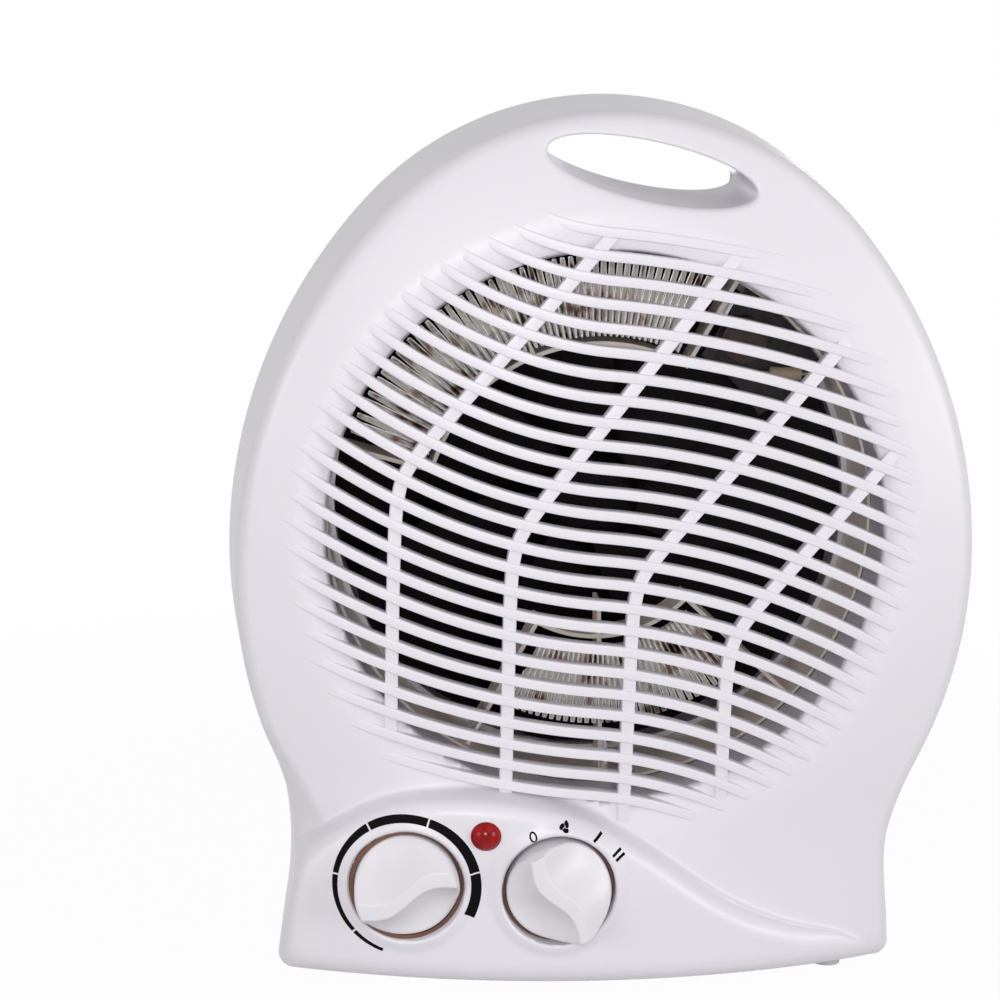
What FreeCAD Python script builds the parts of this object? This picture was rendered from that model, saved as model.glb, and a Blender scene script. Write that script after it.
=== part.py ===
import FreeCAD, Part
import math
import os
from FreeCAD import Vector

# Upright fan heater. Millimetres, +Z up, front faces -Y, +X to the viewer's right.
# Shapes are drawn with the casing's parting plane at y = 0 and moved once, in save(), so that the
# origin lies at the bottom centre of the whole object.

# Casing outline, seen from the front
body_height = 255.0
half_width = 109.0
widest_z = 121.0
top_radius = 94.0
shoulder_radius = 140.0
neck_half_width = 88.8
neck_z = 24.0
foot_height = 3.0
corner_radius = 4.0
wall = 2.4

# Front casing: a face that is domed, but upright at its foot, where a control panel stands proud
dome_reach = 60.0
dome_radius = 375.0
dome_z = 135.0
dome_foot_z = 45.0
bottom_radius = 7.0
front_draft = 0.079
rim_radius = 4.0
panel_reach = 61.0
panel_curve = 260.0
panel_centre_x = -18.0
panel_root = 20.0
panel_radius = 5.0
panel_line = [(-86.5, -4.0), (-83.1, 22.0), (-75.1, 45.3), (-58.0, 56.6), (-34.0, 58.6), (-8.0, 54.0),
              (12.0, 44.0), (38.0, 26.4), (58.0, 17.5), (75.0, 13.0), (84.0, 6.0), (86.5, -4.0)]
bezel_height = 1.2
bezel_width = 2.0

# Rear casing: a flat rim and a deep bulge round the fan
rear_reach = 54.0
rim_depth = 4.0
rim_inset = 1.2
bulge_radius = 87.0
bulge_foot_half_width = 84.0
bulge_draft = 6.0
rear_radius = 5.0

# Handle opening
handle_x = 7.0
handle_z = 236.0
handle_length = 60.0
handle_width = 20.0
handle_tilt = -10.4
handle_wall = 5.0

# Fan axis and front grille
fan_x = -1.5
fan_z = 135.0
grille_radius = 79.0
grille_ledge = 1.5
funnel_slope = 1.41
funnel_bow = 0.7
funnel_back = 42.5
collar_radius = 90.0
collar_back = 40.0
slat_count = 26
slat_pitch = 6.437
slat_top_z = 219.3
slat_width = 2.4
slat_depth = 4.0
slat_centre_x = -3.4
slat_slope = 0.0624
slat_bend_left = 0.0035
slat_bend_right = 0.0029
slat_bend_z = 136.0
slat_bend_fade = 130.0
slat_reach = 96.0
rib_width = 3.2
rib_recess = 1.2
rib_depth = 4.0
rib_lean = 38.3
rib_bend_radius = 40.0
rib_bends = [(-61.5, 149.0), (-29.0, 125.0), (4.5, 108.0), (34.5, 100.0)]
ring_width = 2.0
seat_gap = 0.2

# Rear grille
intake_radius = 70.0
intake_lip = 3.0
intake_thickness = 3.0
intake_slot = 3.4
intake_bar = 2.8
intake_hub = 12.0
intake_spokes = 8
intake_spoke_width = 3.0

# Air duct and mica tube
duct_radius = 85.0
duct_back = 2.0
sheet = 1.0
orifice_radius = 76.5
orifice_lip = 1.5
orifice_lip_reach = 4.0
ear_radius = 97.0
ear_width = 14.0
ear_screw_radius = 93.0
mica_radius = 79.2
mica_sheet = 0.8
mica_reach = 30.0
notch_width = 20.0
notch_reach = 24.0

# Element: two banks of folded wire on mica boards. Angles run anticlockwise from +X.
board_sheet = 1.2
board_front = 26.0
board_back = 14.0
upper_radii = (51.0, 75.0)
upper_angles = (62.0, 114.0, 166.0)
lower_radii = (37.0, 63.0)
lower_angles = (243.0, 273.0, 318.0)
lower_tip_radius = 26.0
wire_margin = 3.0
wire_thick = 0.9
wire_tall = 2.6
fold_count_upper = 38
fold_count_lower = 30
tab_length = 8.0
tab_depth = 10.0
tab_sheet = 0.8
tab_radius = 66.0
safety_angles = (33.0, 59.0)
safety_inner = 55.0
safety_front = 22.0
cutout_radius = 6.5
cutout_height = 6.0
cutout_place = (66.0, 53.0)
fuse_radius = 1.9
fuse_length = 9.0
fuse_place = (68.0, 39.0)
fuse_lead = 3.0
fuse_lead_radius = 0.5

# Fan and motor
hub_radius = 15.0
hub_front = 5.0
hub_back = 11.0
blade_count = 7
blade_radius = 73.5
blade_thick = 1.4
blade_root = 9.0
blade_tip = 70.0
blade_rise_root = 6.0
blade_rise_tip = 15.0
blade_mid = 3.0
shaft_radius = 2.0
shaft_front = 4.0
shaft_back = 46.0
running = 0.04
stack_front = 22.0
stack_length = 16.0
stack_half = 24.0
stack_top = 17.0
stack_bottom = 42.0
window_half = 14.0
window_top = 17.0
core_bar = 12.0
rotor_radius = 12.3
rotor_inset = 0.6
air_gap = 0.4
coil_thick = 5.0
coil_gap = 0.3
bracket_sheet = 1.6
bracket_half = 23.0
bracket_height = 14.0
boss_wall = 1.5
bearing_radius = 5.0
bearing_length = 5.6
motor_screw_x = 19.0
motor_screw_radius = 1.75
motor_head_radius = 3.2
motor_head_height = 1.8
motor_nut_height = 2.0
strap_sheet = 1.4
strap_width = 14.0
strap_half = 79.5
strap_foot = 95.0
strap_screw_x = 89.0

# Knobs, spindles, switches and lamp
knob_z = 33.0
thermostat_x = -55.3
selector_x = -12.0
knob_radius = 15.0
knob_back = 51.0
knob_hole_radius = 16.8
knob_collar_back = 51.0
knob_hub_radius = 6.0
knob_hub_back = 48.4
grip_height = 11.0
grip_width = 4.6
grip_sweep = 1.6
thermostat_angle = 20.0
selector_angle = 118.0
spindle_radius = 3.0
spindle_front = 56.0
spindle_back = 28.0
bush_radius = 5.0
bush_front = 47.5
nut_flats = 13.0
nut_thick = 2.6
plate_front = 44.0
plate_sheet = 1.5
plate_edges = (-65.3, 14.0)
plate_bottom = 9.5
plate_top = 39.5
plate_post_x = (-62.0, -33.65, 10.0)
plate_post_z = 13.5
plate_post_radius = 3.0
plate_screw_radius = 1.2
switch_half = 11.0
switch_depth = 16.0
bore_end = 1.0
bimetal_length = 20.0
bimetal_width = 5.0
bimetal_sheet = 0.8
lens_x = -33.4
lens_z = 48.8
lens_radius = 4.3
lens_dome = 2.6
lens_barrel = 6.0
lamp_radius = 2.4
lamp_length = 9.0

# Fasteners, feet, cord bush, terminals and leads
screw_radius = 1.5
screw_length = 14.0
head_radius = 3.0
head_height = 1.8
head_gap = 0.3
hole_gap = 0.2
post_radius = 4.2
well_wall = 1.6
posts = [(97.5, 112.0), (60.0, 223.0), (70.0, 15.0)]
foot_radius = 4.5
foot_plug_radius = 2.5
foot_front = (73.0, -31.0)
foot_rear = (66.0, 38.0)
inlet_x = 58.0
inlet_z = 24.0
inlet_bore = 3.6
inlet_radius = 6.0
inlet_flange = 8.5
inlet_flange_thick = 2.0
inlet_length = 12.0
block_x = 34.0
block_y = 18.0
block_size = (30.0, 18.0, 14.0)
block_screw_x = (-8.0, 8.0)
block_screw_radius = 2.0
pedestal_height = 4.0
pedestal_inset = 3.0
lead_radius = 1.1

floor_z = foot_height
stack_back = stack_front + stack_length
knob_reach = panel_reach + grip_height
front = Vector(0, -1, 0)
rear = Vector(0, 1, 0)
saved = []


def save(name, shape):
    """Write one node, moved from the parting plane to the object's own origin."""
    os.makedirs("parts", exist_ok=True)
    placed = shape.copy()
    placed.translate(Vector(0, move_y, 0))
    placed.exportStep("parts/" + name + ".step")
    saved.append(name)
    print(name, len(placed.Solids), "solids", round(placed.Volume, 1), placed.isValid())


def spot(radius, angle, y=0.0, centre=(fan_x, fan_z)):
    """The point at a radius and angle round an axis along Y."""
    turn = math.radians(angle)
    return Vector(centre[0] + radius * math.cos(turn), y, centre[1] + radius * math.sin(turn))


def rod(x, z, radius, y_from, y_to):
    return Part.makeCylinder(radius, y_to - y_from, Vector(x, y_from, z), rear)


def ring(x, z, outer, inner, y_from, y_to):
    return rod(x, z, outer, y_from, y_to).cut(rod(x, z, inner, y_from - 1, y_to + 1))


def brick(x_from, x_to, y_from, y_to, z_from, z_to):
    return Part.makeBox(x_to - x_from, y_to - y_from, z_to - z_from, Vector(x_from, y_from, z_from))


def turned(shape, angle, x=fan_x, z=fan_z):
    """A copy turned anticlockwise, as seen from the front, round an axis along Y."""
    copy = shape.copy()
    copy.rotate(Vector(x, 0, z), front, angle)
    return copy


def arc(radius, start, end, y=0.0, centre=(fan_x, fan_z)):
    middle = (start + end) / 2
    return Part.Arc(spot(radius, start, y, centre), spot(radius, middle, y, centre),
                    spot(radius, end, y, centre)).toShape()


def face(edges):
    return Part.Face(Part.Wire(Part.__sortEdges__(edges)))


def slab(edges, y_from, y_to):
    """The flat shape inside edges drawn at y = 0, from y_from to y_to."""
    shape = face(edges)
    shape.translate(Vector(0, y_from, 0))
    return shape.extrude(Vector(0, y_to - y_from, 0))


def polygon(points):
    closed = points + points[:1]
    return [Part.makeLine(closed[i], closed[i + 1]) for i in range(len(points))]


def sector(outer, inner, start, end, y_from, y_to):
    """A block between two radii and two angles round the fan axis."""
    edges = [arc(outer, start, end), Part.makeLine(spot(outer, end), spot(inner, end)),
             arc(inner, end, start), Part.makeLine(spot(inner, start), spot(outer, start))]
    return slab(edges, y_from, y_to)


def fused(shapes):
    return shapes[0].multiFuse(shapes[1:]).removeSplitter()


# Casing outlines


def outline(inset, lift, y):
    """The casing's outline at depth y, drawn in by inset and raised by lift at its flat bottom.

    Tangent arcs, alike left and right.
    """
    rise = body_height - widest_z - top_radius
    side_radius = (half_width ** 2 + rise ** 2 - top_radius ** 2) / (2 * (half_width - top_radius))
    side_x = half_width - side_radius
    side_turn = math.degrees(math.atan2(rise, -side_x))
    swing = 2 * math.atan2(half_width - neck_half_width, widest_z - neck_z)
    neck_radius = (widest_z - neck_z) / math.sin(swing) - shoulder_radius
    swing = math.degrees(swing)
    neck = (neck_half_width + neck_radius, neck_z)
    neck_inset = neck_radius + inset
    corner_z = floor_z + lift + corner_radius
    drop = neck_z - corner_z
    corner = (neck[0] - math.sqrt((neck_inset + corner_radius) ** 2 - drop ** 2), corner_z)
    corner_turn = math.degrees(math.atan2(drop, neck[0] - corner[0]))
    pieces = [(side_radius - inset, side_turn, 0, (side_x, widest_z)),
              (shoulder_radius - inset, 0, -swing, (half_width - shoulder_radius, widest_z)),
              (neck_inset, 180 - swing, 180 + corner_turn, neck),
              (corner_radius, corner_turn, -90, corner)]
    edges = [arc(top_radius - inset, 180 - side_turn, side_turn, y, (0, body_height - top_radius))]
    edges += [arc(radius, start, end, y, centre) for radius, start, end, centre in pieces]
    edges.append(Part.makeLine(Vector(corner[0], y, floor_z + lift), Vector(-corner[0], y, floor_z + lift)))
    for radius, start, end, centre in reversed(pieces):
        edges.append(arc(radius, 180 - end, 180 - start, y, (-centre[0], centre[1])))
    return Part.Wire(edges)


def dome(offset):
    """The ball whose front is the casing's face, drawn in by offset."""
    return Part.makeSphere(dome_radius - offset, Vector(0, dome_radius - dome_reach, dome_z))


def casing_block(offset, start=0.0):
    """The draughted block inside the outline, open ended behind start."""
    depth = panel_reach + wall
    far = outline(offset + front_draft * depth, offset, -depth)
    return Part.makeLoft([outline(offset - front_draft * start, offset, start), far], True, True)


def rounded(solid, radius, on_surface):
    """The solid with the edges of the faces of one surface type rounded."""
    edges = []
    for one in solid.Faces:
        if on_surface(one):
            edges += one.Edges
    return solid.makeFillet(radius, edges)


def upright_barrel(radius, centre_x, reach, top_z, offset):
    """An upright barrel whose front is at y = -reach, rounded at its bottom edge, drawn in by offset."""
    base = Vector(centre_x, radius - reach, floor_z + offset)
    barrel = Part.makeCylinder(radius - offset, top_z - base.z, base)
    bottom = [edge for edge in barrel.Edges if edge.CenterOfMass.z < base.z + 1]
    return barrel.makeFillet(bottom_radius - offset, bottom)


def face_body(offset, start=0.0):
    """The casing's front: a dome that carries on upright below its foot, with a rounded rim."""
    block = casing_block(offset, start)
    domed = rounded(block.common(dome(offset)), rim_radius - offset,
                    lambda one: isinstance(one.Surface, Part.Sphere))
    radius = math.sqrt(dome_radius ** 2 - (dome_z - dome_foot_z) ** 2)
    reach = dome_reach - dome_radius + radius
    upright = block.common(upright_barrel(radius, 0, reach, dome_foot_z, offset))
    curved = [one for one in upright.Faces if isinstance(one.Surface, Part.Cylinder)]
    sides = [edge for edge in curved[0].Edges if abs(edge.CenterOfMass.x) > neck_half_width / 2]
    return domed.fuse(upright.makeFillet(rim_radius - offset, sides))


def panel_y(x):
    """Depth of the control panel's face at x."""
    return -panel_reach + panel_curve - math.sqrt(panel_curve ** 2 - (x - panel_centre_x) ** 2)


def panel_prism(offset):
    """The control panel's outline as a prism, drawn in by offset along its normals."""
    points = [Vector(x, 0, z) for x, z in panel_line]
    line = Part.BSplineCurve()
    line.interpolate(points)
    inward = [Vector(*line.tangent(line.parameter(point))[0]).cross(front) for point in points]
    line.interpolate([point + step * offset for point, step in zip(points, inward)])
    edges = [line.toShape(), Part.makeLine(line.EndPoint, line.StartPoint)]
    return slab(edges, -panel_reach - wall, -panel_root)


def panel_barrel(offset):
    return upright_barrel(panel_curve, panel_centre_x, panel_reach, body_height, offset)


def panel_body(offset):
    """The control panel, its upper edge rounded, down to the casing's draughted sides."""
    base = Vector(panel_centre_x, panel_curve - panel_reach, -body_height / 2)
    barrel = Part.makeCylinder(panel_curve - offset, body_height, base)
    body = panel_prism(offset).common(barrel)
    is_barrel = lambda one: isinstance(one.Surface, Part.Cylinder) and one.Surface.Radius > panel_curve / 2
    body = rounded(body, panel_radius - offset, is_barrel)
    return body.common(panel_barrel(offset)).common(casing_block(offset))


def handle(grow, y_from, y_to):
    """The handle opening, a slot with round ends, grown all round."""
    radius = handle_width / 2 + grow
    reach = (handle_length - handle_width) / 2
    left = (handle_x - reach, handle_z)
    right = (handle_x + reach, handle_z)
    edges = [arc(radius, -90, 90, 0, right), arc(radius, 90, 270, 0, left),
             Part.makeLine(spot(radius, 90, 0, right), spot(radius, 90, 0, left)),
             Part.makeLine(spot(radius, 270, 0, left), spot(radius, -90, 0, right))]
    return turned(slab(edges, y_from, y_to), handle_tilt, handle_x, handle_z)


def funnel(gap):
    """The flared mouth that the grille sinks into, its side slightly bowed, drawn in by gap."""
    reach = dome_reach + wall - funnel_back
    back = Vector(fan_x, -funnel_back, fan_z)
    low = back + Vector(grille_radius - gap, 0, 0)
    high = low + Vector(funnel_slope * reach, -reach, 0)
    middle = (low + high) / 2 - Vector(funnel_bow, funnel_bow, 0)
    tip = back + front * reach
    edges = [Part.makeLine(back, low), Part.Arc(low, middle, high).toShape(), Part.makeLine(high, tip),
             Part.makeLine(tip, back)]
    mouth = face(edges).revolve(back, front, 360)
    return mouth.common(dome(0)).cut(panel_prism(-gap))


def knob_places():
    return [thermostat_x, selector_x]


def post_places():
    return [(side * x, z) for x, z in posts for side in (-1, 1)]


def ear_places():
    return [spot(ear_screw_radius, angle) for angle in (45, 135, 225, 315)]


# Front casing


def front_shell():
    outer = fused([face_body(0), panel_body(0)])
    hollow = fused([face_body(wall, wall), panel_body(wall)])
    shell = outer.cut(hollow)
    inside = [ring(fan_x, fan_z, collar_radius, grille_radius - grille_ledge, -dome_reach, -collar_back),
              handle(handle_wall, -dome_reach, 0).cut(handle(0, -dome_reach - 1, 1))]
    for x, z in post_places():
        inside.append(rod(x, z, post_radius, -dome_reach, 0))
    for place in ear_places():
        inside.append(rod(place.x, place.z, post_radius, -dome_reach, -duct_back - sheet))
    for x in plate_post_x:
        inside.append(rod(x, plate_post_z, plate_post_radius, panel_y(x) + 1, -plate_front))
    inside = [piece.common(outer) for piece in inside]
    for x in knob_places():
        lip = knob_hole_radius + bezel_width
        inside.append(rod(x, knob_z, lip, -knob_reach, -knob_collar_back).common(panel_barrel(-bezel_height)))
    shell = fused([shell] + inside)
    shell = shell.cut(funnel(0))
    holes = [rod(fan_x, fan_z, grille_radius - grille_ledge, -dome_reach, -collar_back + 1),
             handle(0, -dome_reach, 1),
             rod(lens_x, lens_z, lens_radius, -panel_reach - 1, -funnel_back)]
    for x in knob_places():
        holes.append(rod(x, knob_z, knob_hole_radius, -knob_reach, -knob_collar_back + 1))
    for x, z in post_places():
        holes.append(rod(x, z, screw_radius, -screw_length - 1, 1))
    for place in ear_places():
        holes.append(rod(place.x, place.z, screw_radius, -screw_length, 0))
    for x in plate_post_x:
        holes.append(rod(x, plate_post_z, plate_screw_radius, -plate_front - 6, -plate_front + 1))
    for side in (-1, 1):
        holes.append(Part.makeCylinder(foot_plug_radius, foot_height + wall,
                                       Vector(side * foot_front[0], foot_front[1], 1)))
    return shell.cut(Part.makeCompound(holes))


def slat_edge(z_mid, shift):
    """One edge of a slat: two parabolas that meet at the middle with one slope."""
    fade = math.exp((z_mid - slat_bend_z) / slat_bend_fade)
    reach = slat_reach
    z = z_mid + shift
    left = Part.BezierCurve()
    rise = slat_bend_left * fade * reach ** 2
    left.setPoles([Vector(slat_centre_x - reach, 0, z + slat_slope * reach + rise),
                   Vector(slat_centre_x - reach / 2, 0, z + slat_slope * reach / 2),
                   Vector(slat_centre_x, 0, z)])
    right = Part.BezierCurve()
    fall = slat_bend_right / fade * reach ** 2
    right.setPoles([Vector(slat_centre_x, 0, z),
                    Vector(slat_centre_x + reach / 2, 0, z - slat_slope * reach / 2),
                    Vector(slat_centre_x + reach, 0, z - slat_slope * reach - fall)])
    return left, right


def slat(index):
    z_mid = slat_top_z - index * slat_pitch
    upper = slat_edge(z_mid, slat_width / 2)
    lower = slat_edge(z_mid, -slat_width / 2)
    edges = [curve.toShape() for curve in upper + lower]
    edges.append(Part.makeLine(upper[0].StartPoint, lower[0].StartPoint))
    edges.append(Part.makeLine(upper[1].EndPoint, lower[1].EndPoint))
    return slab(edges, -dome_reach - 1, -collar_back)


def rib(bend_x, bend_z):
    """A rib that rises straight, then leans to the right through one arc."""
    lean = math.radians(rib_lean)
    along = Vector(math.sin(lean), 0, math.cos(lean))
    across = Vector(-math.cos(lean), 0, math.sin(lean))
    bend = Vector(bend_x, 0, bend_z)
    tangent = rib_bend_radius * math.tan(lean / 2)
    centre = (bend_x + rib_bend_radius, bend_z - tangent)
    high = bend + along * (2 * grille_radius)
    sides = []
    for half in (rib_width / 2, -rib_width / 2):
        radius = rib_bend_radius + half
        bow = arc(radius, 180, 180 - rib_lean, 0, centre)
        foot = Vector(centre[0] - radius, 0, 0)
        sides.append((foot, bow, high + across * half))
    edges = [Part.makeLine(sides[0][0], sides[1][0]), Part.makeLine(sides[0][2], sides[1][2])]
    for foot, bow, top in sides:
        edges += [Part.makeLine(foot, bow.Vertexes[0].Point), bow, Part.makeLine(bow.Vertexes[-1].Point, top)]
    return slab(edges, -dome_reach - 1, -collar_back)


def front_grille():
    field = funnel(seat_gap).fuse(rod(fan_x, fan_z, grille_radius - seat_gap, -funnel_back, -collar_back))
    slats = Part.makeCompound([slat(index) for index in range(slat_count)])
    slats = slats.common(field.common(dome(0)).cut(dome(slat_depth)))
    ribs = Part.makeCompound([rib(x, z) for x, z in rib_bends])
    ribs = ribs.common(field.common(dome(rib_recess)).cut(dome(rib_recess + rib_depth)))
    outer = grille_radius - seat_gap
    hoop = ring(fan_x, fan_z, outer, outer - ring_width, -dome_reach, -funnel_back).common(dome(slat_depth / 2))
    return fused([hoop] + ribs.Solids + slats.Solids)


# Rear casing


def bulge_line(inset, lift, y):
    radius = bulge_radius - inset
    foot = bulge_foot_half_width - inset
    right = Vector(foot, y, floor_z + lift)
    left = Vector(-foot, y, floor_z + lift)
    edges = [arc(radius, 180, 0, y), Part.makeLine(spot(radius, 0, y), right),
             Part.makeLine(right, left), Part.makeLine(left, spot(radius, 180, y))]
    return Part.Wire(edges)


def bulge(offset, y_from):
    """The bulge behind the fan: its sides lean in towards the rear."""
    back = rear_reach - offset
    lean = bulge_draft / rear_reach
    body = Part.makeLoft([bulge_line(offset + lean * y_from, offset, y_from),
                          bulge_line(offset + lean * back, offset, back)], True, True)
    is_back = lambda one: abs(one.CenterOfMass.y - back) < 0.01
    return rounded(body, rear_radius - offset, is_back)


def rear_shell():
    rim = Part.makeLoft([outline(0, 0, 0), outline(rim_inset, 0, rim_depth)], True, True)
    body = bulge(0, 0)
    pocket = Part.makeLoft([outline(wall, wall, -1), outline(wall, wall, rim_depth - wall)], True, True)
    shell = rim.fuse(body).cut(pocket).cut(bulge(wall, 0))
    inside = [handle(handle_wall, 0, rim_depth).common(rim)]
    seat = rear_reach - intake_thickness
    inside.append(rod(fan_x, fan_z, intake_radius + intake_lip, seat - wall, seat + 1))
    for x, z in posts[:2]:
        inside += [rod(side * x, z, post_radius, 0, rim_depth - head_gap) for side in (-1, 1)]
    well = head_radius + head_gap + well_wall
    x, z = posts[2]
    inside += [rod(side * x, z, well, 0, rear_reach).common(body) for side in (-1, 1)]
    inside.append(ring(inlet_x, inlet_z, inlet_radius + wall, inlet_radius, rear_reach - inlet_length,
                       rear_reach - wall))
    half = block_size[0] / 2 - pedestal_inset
    inside.append(brick(block_x - half, block_x + half, block_y - pedestal_inset, block_y + pedestal_inset,
                        floor_z + 1, floor_z + wall + pedestal_height))
    shell = fused([shell] + inside)
    holes = [handle(0, -1, rim_depth + 1),
             rod(fan_x, fan_z, intake_radius - intake_lip, seat - wall - 1, rear_reach + 1),
             rod(fan_x, fan_z, intake_radius + seat_gap, seat, rear_reach + 1),
             rod(inlet_x, inlet_z, inlet_radius, rear_reach - inlet_length - 1, rear_reach + 1),
             rod(inlet_x, inlet_z, inlet_flange, rear_reach - inlet_flange_thick, rear_reach + 1)]
    for x, z in post_places():
        holes.append(rod(x, z, screw_radius + hole_gap, -1, rear_reach))
        holes.append(rod(x, z, head_radius + head_gap, rim_depth - head_height, rear_reach + 1))
    for side in (-1, 1):
        holes.append(Part.makeCylinder(foot_plug_radius, foot_height + wall,
                                       Vector(side * foot_rear[0], foot_rear[1], 1)))
    return shell.cut(Part.makeCompound(holes))


def rear_grille():
    """Round intake grille: rings on spokes round a hub, seated on the rear casing's ledge."""
    y_from = rear_reach - intake_thickness
    pieces = [rod(fan_x, fan_z, intake_hub, y_from, rear_reach)]
    radius = intake_hub + intake_slot
    while radius + intake_bar < intake_radius - intake_lip:
        pieces.append(ring(fan_x, fan_z, radius + intake_bar, radius, y_from, rear_reach))
        radius += intake_bar + intake_slot
    pieces.append(ring(fan_x, fan_z, intake_radius, intake_radius - intake_lip, y_from, rear_reach))
    half = intake_spoke_width / 2
    for index in range(intake_spokes):
        spoke = brick(fan_x + intake_hub - 1, fan_x + intake_radius - 1, y_from, rear_reach,
                      fan_z - half, fan_z + half)
        pieces.append(turned(spoke, index * 360 / intake_spokes))
    return fused(pieces)


def rubber_feet():
    feet = []
    for x, y in (foot_front, foot_rear):
        for side in (-1, 1):
            pad = Part.makeCylinder(foot_radius, foot_height, Vector(side * x, y, 0))
            plug = Part.makeCylinder(foot_plug_radius, wall, Vector(side * x, y, foot_height))
            feet.append(pad.fuse(plug).removeSplitter())
    return Part.makeCompound(feet)


def screw(x, z, seat, length, radius=screw_radius, head=head_radius, height=head_height):
    """A pan screw driven in from the rear: its head rests on y = seat."""
    body = rod(x, z, radius, seat - length, seat).fuse(rod(x, z, head, seat, seat + height))
    bit = radius * 0.6
    for wide, tall in ((head * 0.7, bit / 2), (bit / 2, head * 0.7)):
        body = body.cut(brick(x - wide, x + wide, seat + height / 2, seat + height + 1, z - tall, z + tall))
    return body


def shell_screws():
    seat = rim_depth - head_height
    return Part.makeCompound([screw(x, z, seat, screw_length) for x, z in post_places()])


def cord_bush():
    """The bush that a cord would enter by."""
    flange_from = rear_reach - inlet_flange_thick
    body = rod(inlet_x, inlet_z, inlet_radius, rear_reach - inlet_length, rear_reach)
    body = body.fuse(rod(inlet_x, inlet_z, inlet_flange, flange_from, rear_reach))
    return body.cut(rod(inlet_x, inlet_z, inlet_bore, 0, rear_reach + 1)).removeSplitter()


# Air duct and element


def notch(radius):
    """The slot that lets the leads into the duct, from its front edge back."""
    box = brick(fan_x + radius - 6, fan_x + radius + 6, -collar_back - 1, -notch_reach,
                fan_z - notch_width / 2, fan_z + notch_width / 2)
    return turned(box, lower_angles[1])


def air_duct():
    pieces = [ring(fan_x, fan_z, duct_radius, duct_radius - sheet, -collar_back, -duct_back),
              ring(fan_x, fan_z, duct_radius, orifice_radius, -duct_back - sheet, -duct_back),
              ring(fan_x, fan_z, orifice_radius + orifice_lip, orifice_radius, -orifice_lip_reach, -duct_back)]
    ear = brick(fan_x + duct_radius - 1, fan_x + ear_radius, -duct_back - sheet, -duct_back,
                fan_z - ear_width / 2, fan_z + ear_width / 2)
    pieces += [turned(ear, angle) for angle in (0, 45, 135, 180, 225, 315)]
    duct = fused(pieces).cut(notch(duct_radius))
    holes = [rod(place.x, place.z, screw_radius, -10, 10) for place in ear_places()]
    holes += [rod(fan_x + side * strap_screw_x, fan_z, screw_radius, -10, 10) for side in (-1, 1)]
    return duct.cut(Part.makeCompound(holes))


def duct_screws():
    return Part.makeCompound([screw(place.x, place.z, -duct_back, screw_length - 2) for place in ear_places()])


def mica_tube():
    tube = ring(fan_x, fan_z, mica_radius, mica_radius - mica_sheet, -mica_reach, -duct_back - sheet)
    return tube.cut(notch(mica_radius))


def board(angle, inner):
    """A radial mica board from inner out to the mica tube."""
    outer = mica_radius - mica_sheet
    half = board_sheet / 2
    box = brick(fan_x + inner, fan_x + mica_radius, -board_front, -board_back, fan_z - half, fan_z + half)
    return turned(box.common(rod(fan_x, fan_z, outer, -board_front, -board_back)), angle)


def mica_frame(radii, angles, inners):
    inner = radii[0]
    pieces = [sector(inner, inner - board_sheet, angles[0], angles[-1], -board_front, -board_back)]
    pieces += [board(angle, start) for angle, start in zip(angles, inners)]
    return fused(pieces)


def heater_wire(radii, angles, folds):
    """A bank of flat wire folded to and fro between two radii, lying on the boards' front edges."""
    start = angles[0] + wire_margin
    step = (angles[-1] - angles[0] - 2 * wire_margin) / folds
    y_from = -board_front - wire_tall
    band = sector(radii[1], radii[0], start, start + step * folds, y_from, -board_front)
    slits = []
    for index in range(folds):
        low = radii[0] + wire_thick if index % 2 else radii[0] - 1
        high = radii[1] + 1 if index % 2 else radii[1] - wire_thick
        corners = []
        for radius, sign in ((low, 1), (high, 1), (high, -1), (low, -1)):
            thick = math.degrees(wire_thick / 2 / radius)
            corners.append(spot(radius, start + step * (index + 0.5) - sign * (step / 2 - thick)))
        slits.append(slab(polygon(corners), y_from - 1, -board_front + 1))
    return band.cut(Part.makeCompound(slits))


def terminal_tab(angle, side):
    """A tab that lies against one side of a board, beyond the wire."""
    near = side * board_sheet / 2
    far = near + side * tab_sheet
    box = brick(fan_x + tab_radius, fan_x + tab_radius + tab_length, -board_front - tab_depth / 2,
                -board_front + tab_depth / 2, fan_z + min(near, far), fan_z + max(near, far))
    return turned(box, angle)


def element_terminals():
    return Part.makeCompound([terminal_tab(upper_angles[0], -1), terminal_tab(lower_angles[0], -1),
                              terminal_tab(lower_angles[1], 1)])


def safety_bracket():
    return sector(mica_radius - mica_sheet, safety_inner, *safety_angles, -safety_front,
                  -safety_front + board_sheet)


def thermal_cutout():
    place = spot(*cutout_place)
    cup = rod(place.x, place.z, cutout_radius, -safety_front - cutout_height, -safety_front)
    cap = rod(place.x, place.z, cutout_radius * 0.8, -safety_front - cutout_height - 1, -safety_front)
    return cup.fuse(cap).removeSplitter()


def thermal_fuse():
    """A fuse that lies across its board, with a lead at each end."""
    place = spot(*fuse_place)
    y = -safety_front - fuse_radius
    start = Vector(place.x - fuse_length / 2, y, place.z)
    body = Part.makeCylinder(fuse_radius, fuse_length, start, Vector(1, 0, 0))
    start = start - Vector(fuse_lead, 0, 0)
    lead = Part.makeCylinder(fuse_lead_radius, fuse_length + 2 * fuse_lead, start, Vector(1, 0, 0))
    return body.fuse(lead).removeSplitter()


# Fan and motor


def blade_section(x, width, rise):
    low = blade_mid - rise / 2
    high = blade_mid + rise / 2
    half = width / 2
    points = [Vector(fan_x + x, low, fan_z - half), Vector(fan_x + x, high, fan_z + half),
              Vector(fan_x + x, high + blade_thick, fan_z + half),
              Vector(fan_x + x, low + blade_thick, fan_z - half)]
    return Part.makePolygon(points + points[:1])


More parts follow.
